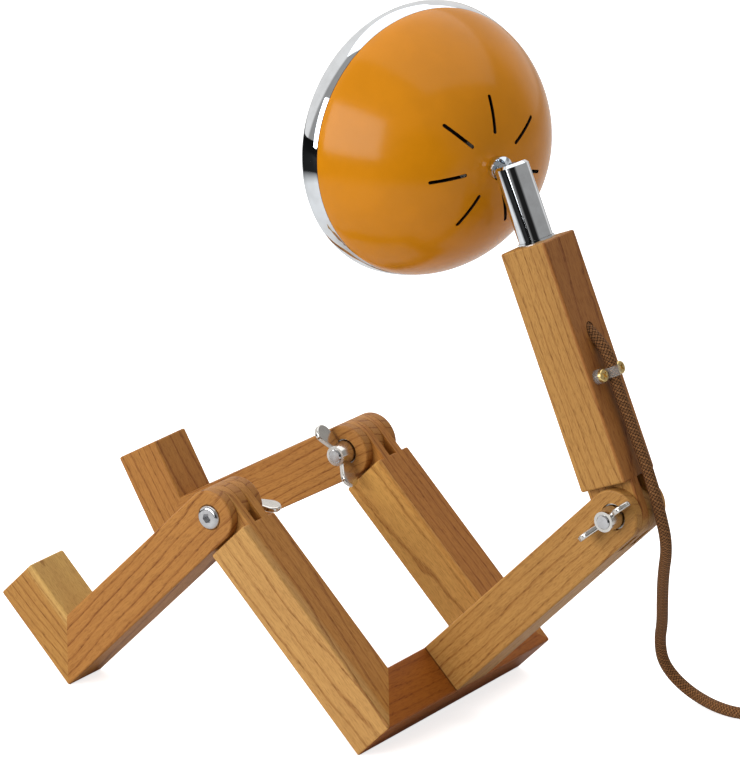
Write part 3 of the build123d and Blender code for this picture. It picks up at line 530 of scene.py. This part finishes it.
def braided_textile(name):
    """The cord's braided sleeve."""
    material, bench, shader = new_material(name)
    feeds = {"Cord UV": bench.put("ShaderNodeUVMap", uv_map="CordUV")}
    braid = place_group(bench, "Braided sleeve", braid_group, feeds)
    marks = handled(bench, 0.05, 0.0005)
    gap_shade, strand = finishes().cord_gap_shade, finishes().cord_strand
    # Strand colour on the crowns, painted shade in the gaps
    colour = bench.blend(braid["Light Strand"], colour4(gap_shade), colour4(strand))
    fuzz = bench.span(marks["Grit"], 0.35, 0.7, 0.0, 0.25)
    colour = bench.blend(fuzz, colour, colour4(gap_shade, 0.7))
    bench.feed(colour, shader["Base Color"])
    bench.feed(bench.span(braid["Thread"], 0.0, 1.0, 0.62, 0.8), shader["Roughness"])
    bench.feed(0.12, shader["Specular IOR Level"])
    threads = bench.times(braid["Thread"], 0.12)
    relief(bench, shader, bench.plus(braid["Height"], threads), 0.0003, 0.8)
    return material


# Piece building
def set_material(obj, material):
    """Give every slot of an object one material."""
    if not obj.data.materials:
        obj.data.materials.append(material)
    for index in range(len(obj.data.materials)):
        obj.data.materials[index] = material


def finish_nodes(material, *names):
    """Give CAD pieces one material."""
    for name in names:
        set_material(NODES[name], material)


def add_object(name, data):
    """Put a mesh, a curve, a light or a camera into the scene."""
    obj = bpy.data.objects.new(name, data)
    bpy.context.scene.collection.objects.link(obj)
    return obj


def new_piece(name, mesh, material, body, replaced=()):
    """Add a finished mesh as a piece that rides on a body."""
    obj = add_object(name, mesh)
    set_material(obj, material)
    if replaced:
        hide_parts(*replaced)
    if body:
        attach(obj, body)
    return obj


def frame_matrix(origin, along, side):
    """Local z runs along, local x runs to the side."""
    along = Vector(along).normalized()
    side = (Vector(side) - along * Vector(side).dot(along)).normalized()
    turn = Matrix((side, along.cross(side), along)).transposed()
    return Matrix.Translation(origin) @ turn.to_4x4()


def plain_mesh(name, mesh):
    """A built mesh as mesh data."""
    result = bpy.data.meshes.new(name)
    mesh.to_mesh(result)
    mesh.free()
    return result


def turned_mesh(name, outline, segments, matrix):
    """A mesh turned about local z from a closed outline of (radius, z) points, its faces outward."""
    mesh = bmesh.new()
    rings = []
    for step in range(segments):
        angle = 2 * pi * step / segments
        rings.append([mesh.verts.new((r * cos(angle), r * sin(angle), z)) for r, z in outline])
    for step in range(segments):
        here, there = rings[step], rings[(step + 1) % segments]
        for index in range(len(outline)):
            after = (index + 1) % len(outline)
            mesh.faces.new((here[index], there[index], there[after], here[after]))
    bmesh.ops.remove_doubles(mesh, verts=mesh.verts, dist=1e-7)
    bmesh.ops.recalc_face_normals(mesh, faces=mesh.faces)
    result = plain_mesh(name, mesh)
    result.transform(matrix)
    return result


def shade_smooth(mesh, angle=30):
    """Smooth shading, with edges kept where the surface turns by more than an angle in degrees."""
    mesh.polygons.foreach_set("use_smooth", [True] * len(mesh.polygons))
    mesh.set_sharp_from_angle(angle=radians(angle))
    mesh.update()


def in_lamp(points):
    """Route points in the lamp's frame, in metres."""
    return [Vector((MIDDLE_X + x / 1000, y / 1000, z / 1000)) for x, y, z in points]


def coil_turns():
    """Points of the wound cord: three turns out to in, up a layer, and in to out until it leaves."""
    steps = 24
    turns = 5.5
    radii = COIL_RADII + COIL_RADII[::-1] + COIL_RADII[:1]
    # The degree at which each turn starts to move over, and how many degrees the move takes
    starts = (300, 300, 240, 180, 180, 180)
    move = 60
    bottom, top = COIL_LAYERS
    points = []
    for step in range(int(turns * steps) + 1):
        turn, angle = divmod(step * 360 / steps, 360)
        turn = int(turn)
        share = min(max((angle - starts[turn]) / move, 0), 1)
        share = share * share * (3 - 2 * share)
        radius = radii[turn] + (radii[turn + 1] - radii[turn]) * share
        radius /= cos(pi / steps)
        layer = share if turn == 2 else turn > 2
        here = radians(angle)
        x = COIL_CENTRE[0] + radius * cos(here)
        y = COIL_CENTRE[1] + radius * sin(here)
        points.append((x, y, bottom + (top - bottom) * layer))
    return points


def cord_spline(name, points):
    """A smooth spline with the route's points as its control points."""
    curve = bpy.data.curves.new(name, "CURVE")
    curve.dimensions = "3D"
    curve.resolution_u = 8
    spline = curve.splines.new("NURBS")
    spline.points.add(len(points) - 1)
    for point, place in zip(spline.points, points):
        point.co = (*place, 1.0)
    spline.order_u = 3
    spline.use_endpoint_u = True
    return curve


def evaluated_mesh(holder):
    """The plain mesh that an object becomes with its curve or its modifiers worked out."""
    depsgraph = bpy.context.evaluated_depsgraph_get()
    return bpy.data.meshes.new_from_object(holder.evaluated_get(depsgraph))


def line_of(curve):
    """The points along a curve that has no bevel."""
    holder = add_object(curve.name + "_line", curve)
    line = evaluated_mesh(holder)
    points = [vertex.co.copy() for vertex in line.vertices]
    bpy.data.objects.remove(holder)
    bpy.data.meshes.remove(line)
    return points


def tube_along(name, points, radius, segments):
    """A closed round tube along a line, with a UV map: u once round, v in circumferences along."""
    mesh = bmesh.new()
    uv = mesh.loops.layers.uv.new("CordUV")
    rings, lengths = [], []
    travelled = 0.0
    side = Vector((1, 0, 0))
    for index, point in enumerate(points):
        before, after = points[max(index - 1, 0)], points[min(index + 1, len(points) - 1)]
        along = (after - before).normalized()
        side = (side - along * side.dot(along)).normalized()
        other = along.cross(side)
        if index:
            travelled += (point - points[index - 1]).length
        lengths.append(travelled / (2 * pi * radius))
        ring = []
        for step in range(segments):
            angle = 2 * pi * step / segments
            outward = side * (radius * cos(angle)) + other * (radius * sin(angle))
            ring.append(mesh.verts.new(point + outward))
        rings.append(ring)
    for index in range(len(rings) - 1):
        here, there = rings[index], rings[index + 1]
        low, high = lengths[index], lengths[index + 1]
        for step in range(segments):
            after = (step + 1) % segments
            face = mesh.faces.new((here[step], here[after], there[after], there[step]))
            face.smooth = True
            start, end = step / segments, (step + 1) / segments
            places = ((start, low), (end, low), (end, high), (start, high))
            for loop, place in zip(face.loops, places):
                loop[uv].uv = place
    mesh.faces.new(reversed(rings[0]))
    mesh.faces.new(rings[-1])
    return plain_mesh(name, mesh)


# Operators
class LAMP_OT_camera(bpy.types.Operator):
    """Place the camera behind the lamp's left side, a little above it"""

    bl_idname = "lamp.camera"
    bl_label = "Place camera"

    def execute(self, context):
        data = bpy.data.cameras.new("camera")
        data.sensor_width = 36.0
        data.lens = 270.55
        data.clip_start = 0.1
        data.clip_end = 60.0
        camera = add_object("camera", data)
        right = Vector((-0.5678701, 0.8229604, -0.0161161))
        up = Vector((-0.2661225, -0.1650352, 0.9497064))
        back = Vector((0.7789110, 0.5436057, 0.3127269))
        turn = Matrix((right, up, back)).transposed()
        place = Vector((MIDDLE_X + 2.432019, 1.712797, 1.162446))
        camera.matrix_world = Matrix.Translation(place) @ turn.to_4x4()
        context.scene.camera = camera
        return {"FINISHED"}


class LAMP_OT_cord(bpy.types.Operator):
    """Lay the braided cord from the upper back through the switch and the coil to the plug"""

    bl_idname = "lamp.cord"
    bl_label = "Lay cord"

    def execute(self, context):
        radius = sizes().cord_diameter / 2
        route = CORD_ROUTE + SWITCH_ROUTE + LEAD_ROUTE + tuple(coil_turns()) + PLUG_ROUTE
        curve = cord_spline("cord_route", in_lamp(route))
        line = line_of(curve)
        bpy.data.curves.remove(curve)
        tube = tube_along("cord", line, radius, 20)
        sleeve = braided_textile("braided_sleeve")
        replaced = ("cord_on_back", "cord_at_waist", "cord_to_switch", "cord_to_coil", "cord_coil",
                    "cord_to_plug")
        cord = new_piece("cord", tube, sleeve, None, replaced)
        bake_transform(cord)
        plastic = moulded_plastic("dark_plastic", finishes().dark_plastic, 0.42)
        pins = plated_steel("pin_metal", (0.66, 0.64, 0.58), 0.22)
        moulded = ("switch_housing", "switch_rocker", "cord_tie", "plug_body")
        metal = ("plug_pin_left", "plug_pin_right")
        finish_nodes(plastic, *moulded)
        finish_nodes(pins, *metal)
        return {"FINISHED"}


class LAMP_OT_beams(bpy.types.Operator):
    """Oil the beams, each with its grain along its own length"""

    bl_idname = "lamp.beams"
    bl_label = "Oil beams"

    def execute(self, context):
        across = Vector((1, 0, 0))
        seat = Vector((0, -cos(SEAT_LEAN), sin(SEAT_LEAN)))
        lower = Vector((0, sin(SEAT_LEAN), cos(SEAT_LEAN)))
        left_sole = Vector((0, cos(SHIN_LEANS["left"]), sin(SHIN_LEANS["left"])))
        honey, amber, russet = (1.0, 1.0, 1.0), (0.91, 0.79, 0.70), (0.70, 0.42, 0.20)
        beams = [
            ("crossbar", KNEE, across, seat, russet, 0.31, (0.012, 0.055), 0.5),
            ("left_thigh", KNEE, seat, across, (1.0, 0.88, 0.72), 0.83, (0.052, 0.011), 0.62),
            ("right_thigh", KNEE, seat, across, (1.0, 0.86, 0.70), 1.37, (-0.061, 0.022), 0.68),
            ("lower_back", WAIST, lower, across, honey, 2.11, (0.060, 0.034), 0.52),
            ("upper_back", WAIST, UP_BACK, across, honey, 2.93, (0.046, -0.040), 0.52),
            ("dowel_left", WAIST, lower, across, honey, 3.1, (0.05, 0.03), 0.4),
            ("dowel_right", WAIST, lower, across, honey, 3.6, (0.05, 0.03), 0.4),
        ]
        for index, (side, lean) in enumerate(SHIN_LEANS.items()):
            shin = Vector((0, -cos(lean), -sin(lean)))
            foot = Vector((0, -sin(lean), cos(lean)))
            toe = (0.90, 0.78, 0.68) if index else (0.97, 0.95, 0.88)
            beams.append((side + "_shin", KNEE, shin, across, amber, 4.07 + index, (0.058, 0.03), 0.75))
            beams.append((side + "_foot", KNEE, foot, across, toe, 6.3 + index, (-0.02, 0.048), 0.66))
        face_tones_and_shading = (
            # Paler on the left thigh's outer face
            ("left_thigh", across, 0.004, (1.16, 1.42, 2.05)),
            # Painted light: the right thigh's face toward the left leg made paler
            ("right_thigh", across, 0.002, (1.32, 1.58, 1.85)),
            # Painted shade: the right thigh's upper face darker and redder
            ("right_thigh", seat.cross(across), 0.001, (0.92, 0.84, 0.76)),
            # Painted light: the left foot's upturned face made paler, as lit from above
            ("left_foot", left_sole, 0.003, (1.3, 1.6, 2.0)),
            # Painted shade: the upper back's back face darker and redder
            ("upper_back", UP_BACK.cross(across), 0.001, (0.82, 0.66, 0.64)),
            # Painted shadow: a dark band along the lower back's end where it meets the crossbar
            ("lower_back", -lower, 0.0005, (0.25, 0.17, 0.12)),
        )
        for name, origin, along, side, tint, seed, pith, strength in beams:
            layers = []
            for beam, direction, depth, gain in face_tones_and_shading:
                if beam == name:
                    face = max(vertex.co.dot(direction) for vertex in NODES[name].data.vertices)
                    layers.append((direction, face - 2 * depth, face - depth, gain))
            wood = oiled_wood("oiled_" + name, origin, along, side, tint, seed, pith, strength, layers)
            finish_nodes(wood, name)
        return {"FINISHED"}


class LAMP_OT_clamps(bpy.types.Operator):
    """Plate the bolts, washers and wing nuts"""

    bl_idname = "lamp.clamps"
    bl_label = "Finish clamps"

    def execute(self, context):
        metals = {
            "_bolt": plated_steel("bolt_metal", (0.56, 0.57, 0.59), 0.11),
            "_washer": plated_steel("washer_metal", (0.50, 0.49, 0.47), 0.24),
            "_wing_nut": plated_steel("wing_nut_metal", (0.68, 0.67, 0.64), 0.13),
        }
        for piece, metal in metals.items():
            finish_nodes(metal, "left_knee" + piece, "right_knee" + piece, "waist" + piece)
        return {"FINISHED"}


class LAMP_OT_neck(bpy.types.Operator):
    """Polish the neck's barrel, its ball joint and what holds it"""

    bl_idname = "lamp.neck"
    bl_label = "Finish neck"

    def execute(self, context):
        chrome = polished_chrome("neck_chrome")
        finish_nodes(chrome, "neck_barrel", "neck_washer", "ball_arm", "arm_collar")
        steel = plated_steel("stem_metal", (0.60, 0.60, 0.60), 0.28)
        finish_nodes(steel, "threaded_stem", "stem_nut", "arm_nut")
        finish_nodes(plated_steel("bush_brass", (0.70, 0.50, 0.22), 0.25), "neck_bush")
        finish_nodes(moulded_plastic("seat_nylon", (0.75, 0.74, 0.70), 0.45), "ball_seat")
        return {"FINISHED"}


def dome_outline(radius, depth, start, count):
    """Half outline of the dome from a radius near its apex to its widest place."""
    first = 1 - (1 - (start / radius) ** DOME_WIDTH_POWER) ** (1 / DOME_DEPTH_POWER)
    points = []
    for step in range(count + 1):
        share = first + (1 - first) * (step / count) ** 1.6
        across = radius * (1 - (1 - share) ** DOME_DEPTH_POWER) ** (1 / DOME_WIDTH_POWER)
        points.append((across, share * depth))
    return points


def vent_tree():
    """Geometry Nodes that cut a ring of radial slots out of a shell round its local z axis."""
    inputs = (
        ("Geometry", "Geometry"),
        ("Count", "Int"),
        ("Start", "Float"),
        ("End", "Float"),
        ("Width", "Float"),
        ("First Turn", "Float"),
        ("Material", "Material"),
    )
    outputs = (("Geometry", "Geometry"),)
    tree, bench, source, result = new_group("Radial vents", inputs, outputs, "GeometryNodeTree")
    radius = bench.times(source["Width"], 0.5)
    reach = bench.maths("SUBTRACT", source["End"], source["Start"])
    half_run = bench.times(bench.maths("SUBTRACT", reach, source["Width"]), 0.5)
    # A tall round bar whose two halves are drawn apart into a slot's shape
    bar = bench.put("GeometryNodeMeshCylinder", {"Vertices": 26, "Depth": 0.06, "Radius": radius})
    across = bench.split(bench.put("GeometryNodeInputPosition"))["X"]
    end = bench.times(bench.maths("SIGN", across), half_run)
    slot = bench.put("GeometryNodeSetPosition", {"Geometry": bar, "Offset": bench.combine(X=end)})
    # One bar for each vent, turned and moved out from the axis
    line = bench.put("GeometryNodeMeshLine", {"Count": source["Count"], "Offset": (0, 0, 0)})
    step = bench.maths("DIVIDE", -2 * pi, source["Count"])
    turn = bench.plus(bench.times(bench.put("GeometryNodeInputIndex"), step), source["First Turn"])
    feeds = {"Points": line, "Instance": slot, "Rotation": bench.combine(Z=turn)}
    spread = bench.put("GeometryNodeInstanceOnPoints", feeds)
    middle = bench.times(bench.plus(source["Start"], source["End"]), 0.5)
    x = bench.times(bench.maths("COSINE", turn), middle)
    y = bench.times(bench.maths("SINE", turn), middle)
    feeds = {"Instances": spread, "Translation": bench.combine(X=x, Y=y), "Local Space": False}
    moved = bench.put("GeometryNodeTranslateInstances", feeds)
    solid = bench.put("GeometryNodeRealizeInstances", {"Geometry": moved})
    feeds = {"Mesh 1": source["Geometry"], "Mesh 2": solid}
    cut = bench.put("GeometryNodeMeshBoolean", feeds, operation="DIFFERENCE", solver="EXACT")
    whole = bench.put("GeometryNodeRealizeInstances", {"Geometry": cut})
    finish = bench.put("GeometryNodeSetMaterial", {"Geometry": whole, "Material": source["Material"]})
    bench.feed(finish, result["Geometry"])
    return tree


def made_by_tree(name, mesh, tree, values):
    """Run a node tree on a mesh with named values and return the plain mesh that it makes."""
    holder = add_object(name + "_holder", mesh)
    modifier = holder.modifiers.new("nodes", "NODES")
    modifier.node_group = tree
    for item in tree.interface.items_tree:
        if item.item_type == "SOCKET" and item.in_out == "INPUT" and item.name in values:
            modifier[item.identifier] = values[item.name]
    made = evaluated_mesh(holder)
    holder.modifiers.remove(modifier)
    bpy.data.objects.remove(holder)
    made.name = name
    return made


class LAMP_OT_shade(bpy.types.Operator):
    """Press the vented dome, enamel it and fit the chrome ring"""

    bl_idname = "lamp.shade"
    bl_label = "Make shade"

    def execute(self, context):
        size = sizes()
        apex = frame_matrix(BALL + SHADE_AXIS * size.dome_apex, SHADE_AXIS, (0, 0, 1))
        wall = size.dome_wall
        outer = dome_outline(size.dome_radius, size.dome_depth, size.arm_hole, 40)
        inner = dome_outline(size.dome_radius - wall, size.dome_depth - wall, size.arm_hole, 40)
        inner = [(r, z + wall) for r, z in inner]
        skirt_outer = size.dome_radius - size.skirt_inset
        skirt_inner = skirt_outer - wall
        start, end = size.dome_depth + 0.0004, size.skirt_end
        skirt = [(skirt_outer, start), (skirt_outer, end), (skirt_inner, end), (skirt_inner, start)]
        outline = outer + skirt + inner[::-1]
        shell = turned_mesh("dome_shell", outline, 256, Matrix.Identity(4))
        enamel = glossy_enamel("ochre_enamel", finishes().enamel, 0.16)
        inside = glossy_enamel("white_enamel", finishes().enamel_inside, 0.3)
        values = {
            "Count": size.vent_count,
            "Start": size.vent_start,
            "End": size.vent_end,
            "Width": size.vent_width,
            "First Turn": size.vent_turn,
            "Material": enamel,
        }
        dome = made_by_tree("vented_dome", shell, vent_tree(), values)
        dome.transform(apex)
        shade_smooth(dome, 28)
        piece = new_piece("vented_dome", dome, enamel, "head", ("shade_dome",))
        self.paint_inside(piece, inside, apex.inverted())
        self.fit_ring(apex, skirt_outer)
        return {"FINISHED"}

    def paint_inside(self, piece, inside, to_apex):
        """White enamel on the faces that look into the dome, and painted shade on the walls of its vents."""
        piece.data.materials.append(inside)
        white = len(piece.data.materials) - 1
        # Near black on the vents' walls: painted shade in the slots
        piece.data.materials.append(moulded_plastic("vent_wall_painted_shade", (0.030, 0.010, 0.003), 0.6))
        vents_end = (sizes().vent_end + 0.001) ** 2
        for face in piece.data.polygons:
            centre = to_apex @ face.center
            normal = to_apex.to_3x3() @ face.normal
            squared = centre.x ** 2 + centre.y ** 2
            radial = Vector((centre.x, centre.y, 0)).normalized()
            in_vent = abs(normal.z) < 0.05 and squared < vents_end
            faces_axis = normal.dot(radial) < -0.05 and normal.z > -0.2
            near_apex = squared < 0.0012 and normal.z > 0.9
            if in_vent:
                face.material_index = white + 1
            elif faces_axis or near_apex:
                face.material_index = white

    def fit_ring(self, apex, skirt_outer):
        """The chrome ring over the dome's skirt, and a dark band between the two: a painted shadow in the
        gap.
        """
        size = sizes()
        fit, ease = 0.00005, 0.0003
        inside = skirt_outer - 0.001
        bore = skirt_outer + fit
        rear = bore + size.ring_wall
        eased = size.ring_start + ease
        lip = size.skirt_end + fit
        outline = [(inside, lip), (bore, lip), (bore, eased)]
        outline += [(bore + ease, size.ring_start), (rear - ease, size.ring_start), (rear, eased)]
        round_radius = size.ring_radius - size.ring_round
        round_depth = size.ring_front - size.ring_round
        start = Vector((rear, eased))
        end = Vector((size.ring_radius, round_depth))
        for share in (0.25, 0.5, 0.75):
            place = start.lerp(end, share)
            outline.append((place.x + ease * sin(pi * share), place.y))
        for index in range(13):
            angle = pi / 2 * index / 12
            across = round_radius + size.ring_round * cos(angle)
            outline.append((across, round_depth + size.ring_round * sin(angle)))
        outline.append((inside, size.ring_front))
        ring = turned_mesh("chrome_ring", outline, 256, apex)
        shade_smooth(ring, 40)
        new_piece("chrome_ring", ring, polished_chrome("ring_chrome"), "head", ("shade_ring",))
        # A thin dark band where the ring meets the dome: painted shadow of the gap
        edge = size.dome_radius - 0.0001
        front = size.ring_start - fit
        bead = [(bore, size.dome_depth + 0.0005), (edge, size.dome_depth + 0.0001)]
        bead += [(edge, front), (bore, front)]
        gap_shadow_band = turned_mesh("ring_gap_painted_shadow", bead, 192, apex)
        shade_smooth(gap_shadow_band, 30)
        gap_shadow_paint = moulded_plastic("ring_gap_shadow_paint", (0.035, 0.012, 0.006), 0.5)
        new_piece("ring_gap_painted_shadow", gap_shadow_band, gap_shadow_paint, "head")


class LAMP_OT_bulb(bpy.types.Operator):
    """Finish the lamp holder, its reflector and the bulb"""

    bl_idname = "lamp.bulb"
    bl_label = "Finish bulb"

    def execute(self, context):
        finish_nodes(moulded_plastic("holder_plastic", (0.78, 0.77, 0.73), 0.35), "lamp_holder")
        finish_nodes(self.reflector_paint_and_shade(), "reflector")
        finish_nodes(plated_steel("cap_metal", (0.72, 0.71, 0.68), 0.25), "bulb_cap")
        finish_nodes(opal_glass("bulb_opal"), "bulb_glass")
        return {"FINISHED"}

    def reflector_paint_and_shade(self):
        """White on the side that faces the bulb; near black on its back, as painted shade behind the vents.
        """
        material, bench, shader = new_material("reflector_paint_and_shade")
        marks = handled(bench, 0.02, 0.0006)
        facing = bench.put("ShaderNodeTexCoord").outputs["Normal"]
        front = bench.span(bench.vector("DOT_PRODUCT", facing, SHADE_AXIS), 0.0, 0.2)
        # The near black back is painted shade inside the dome, seen through the vents
        back, white = (0.012, 0.008, 0.006, 1), (0.80, 0.79, 0.76, 1)
        bench.feed(bench.blend(front, back, white), shader["Base Color"])
        bench.feed(bench.span(marks["Smudge"], 0.0, 1.0, 0.4, 0.5), shader["Roughness"])
        relief(bench, shader, marks["Grit"], 0.00001, 0.3)
        return material


class LAMP_OT_clip(bpy.types.Operator):
    """Finish the clear clip and its brass screws"""

    bl_idname = "lamp.clip"
    bl_label = "Finish clip"

    def execute(self, context):
        finish_nodes(clear_plastic("clip_clear"), "cord_clip")
        brass = plated_steel("screw_brass", (0.82, 0.62, 0.26), 0.2)
        finish_nodes(brass, "clip_screw_left", "clip_screw_right")
        return {"FINISHED"}


class LAMP_OT_stage(bpy.types.Operator):
    """Lay the pale floor and set the soft studio lights"""

    bl_idname = "lamp.stage"
    bl_label = "Set stage"

    def execute(self, context):
        half, below = 9.0, -0.0002
        mesh = bpy.data.meshes.new("floor")
        corners = ((-half, -half), (half, -half), (half, half), (-half, half))
        mesh.from_pydata([(x, y, below) for x, y in corners], [], [(0, 1, 2, 3)])
        floor = add_object("floor", mesh)
        set_material(floor, self.pale_floor())
        lamp = Vector((MIDDLE_X, 0.03, 0.2))
        beside = lamp + self.aside(-19, 16, 1.7)
        above = lamp + Vector((-0.5, 0.1, 2.2))
        self.softbox("key_light", beside, lamp, (1.5, 1.05), finishes().key_power)
        self.softbox("top_light", above, lamp, (3.2, 3.2), finishes().top_power)
        context.scene.world = self.walls()
        context.scene.view_settings.view_transform = "Standard"
        return {"FINISHED"}

    def aside(self, azimuth, elevation, distance):
        """A place seen from the lamp in a direction, in degrees."""
        level = distance * cos(radians(elevation))
        height = distance * sin(radians(elevation))
        return Vector((level * cos(radians(azimuth)), level * sin(radians(azimuth)), height))

    def pale_floor(self):
        """A white table top that fades into a dark room, lifted towards white where it is looked at."""
        material, bench, shader = new_material("pale_floor")
        seen = bench.put("ShaderNodeLightPath").outputs["Is Camera Ray"]
        place = object_vector(bench)
        tone = bench.noise(place, 3.0)
        pale = bench.blend(tone, (0.85, 0.85, 0.85, 1), (0.87, 0.87, 0.87, 1))
        reach = bench.span(bench.vector("LENGTH", place), 0.6, 0.85)
        ahead = bench.vector("DOT_PRODUCT", place, self.aside(-15, 0, 1))
        reach = bench.times(reach, bench.span(ahead, 0.12, 0.35))
        lit = bench.blend(reach, (0.74, 0.74, 0.74, 1), (0.013, 0.013, 0.013, 1))
        bench.feed(bench.blend(seen, lit, pale), shader["Base Color"])
        bench.feed(0.8, shader["Roughness"])
        bench.feed(0.0, shader["Specular IOR Level"])
        bench.feed((1, 1, 1, 1), shader["Emission Color"])
        bench.feed(bench.times(seen, 0.75), shader["Emission Strength"])
        return material

    def walls(self):
        """Grey walls with a dark opening, a bright backdrop across from it and a bright window."""
        world = bpy.data.worlds.new("studio")
        world.use_nodes = True
        bench = Bench(world.node_tree)
        background = world.node_tree.nodes["Background"]
        way = bench.put("ShaderNodeTexCoord").outputs["Generated"]
        facing = bench.vector("DOT_PRODUCT", way, self.aside(37, 0, 1))
        opening = bench.span(facing, 0.88, 0.96, finishes().surround, 0.015)
        backdrop = bench.span(facing, -0.62, -0.42, 0.5, 0.0)
        left = bench.vector("DOT_PRODUCT", way, self.aside(-100, 15, 1))
        window = bench.span(left, 0.66, 0.72, 0.0, 0.90)
        strength = bench.maths("MAXIMUM", bench.plus(opening, backdrop), window)
        seen = bench.put("ShaderNodeLightPath").outputs["Is Camera Ray"]
        background.inputs["Color"].default_value = (1.0, 0.96, 0.92, 1)
        bench.feed(bench.span(seen, 0.0, 1.0, strength, 0.9), background.inputs["Strength"])
        return world

    def softbox(self, name, place, target, size, power):
        """A large rectangular light that looks at the lamp."""
        data = bpy.data.lights.new(name, "AREA")
        data.shape = "RECTANGLE"
        data.size, data.size_y = size
        data.energy = power
        light = add_object(name, data)
        light.location = place
        light.rotation_euler = (target - place).to_track_quat("-Z", "Y").to_euler()


STEPS = (
    LAMP_OT_camera,
    LAMP_OT_cord,
    LAMP_OT_beams,
    LAMP_OT_clamps,
    LAMP_OT_neck,
    LAMP_OT_shade,
    LAMP_OT_bulb,
    LAMP_OT_clip,
    LAMP_OT_stage,
)


class LAMP_PT_sidebar(bpy.types.Panel):
    bl_idname = "LAMP_PT_sidebar"
    bl_label = "Desk lamp"
    bl_space_type = "VIEW_3D"
    bl_region_type = "UI"
    bl_category = "Lamp"

    def draw(self, context):
        layout = self.layout
        for group in (context.scene.lamp_sizes, context.scene.lamp_finishes):
            column = layout.column()
            for name in group.__annotations__:
                column.prop(group, name)
        for step in STEPS:
            layout.operator(step.bl_idname)


def register():
    for item in (LampSizes, LampFinishes, *STEPS, LAMP_PT_sidebar):
        bpy.utils.register_class(item)
    bpy.types.Scene.lamp_sizes = PointerProperty(type=LampSizes)
    bpy.types.Scene.lamp_finishes = PointerProperty(type=LampFinishes)


def unregister():
    del bpy.types.Scene.lamp_finishes
    del bpy.types.Scene.lamp_sizes
    for item in reversed((LampSizes, LampFinishes, *STEPS, LAMP_PT_sidebar)):
        bpy.utils.unregister_class(item)


def main():
    """Finish the lamp, step by step."""
    register()
    bpy.ops.lamp.camera()
    bpy.ops.lamp.cord()
    bpy.ops.lamp.beams()
    bpy.ops.lamp.clamps()
    bpy.ops.lamp.neck()
    bpy.ops.lamp.shade()
    bpy.ops.lamp.bulb()
    bpy.ops.lamp.clip()
    bpy.ops.lamp.stage()


if __name__ == "__main__":
    main()
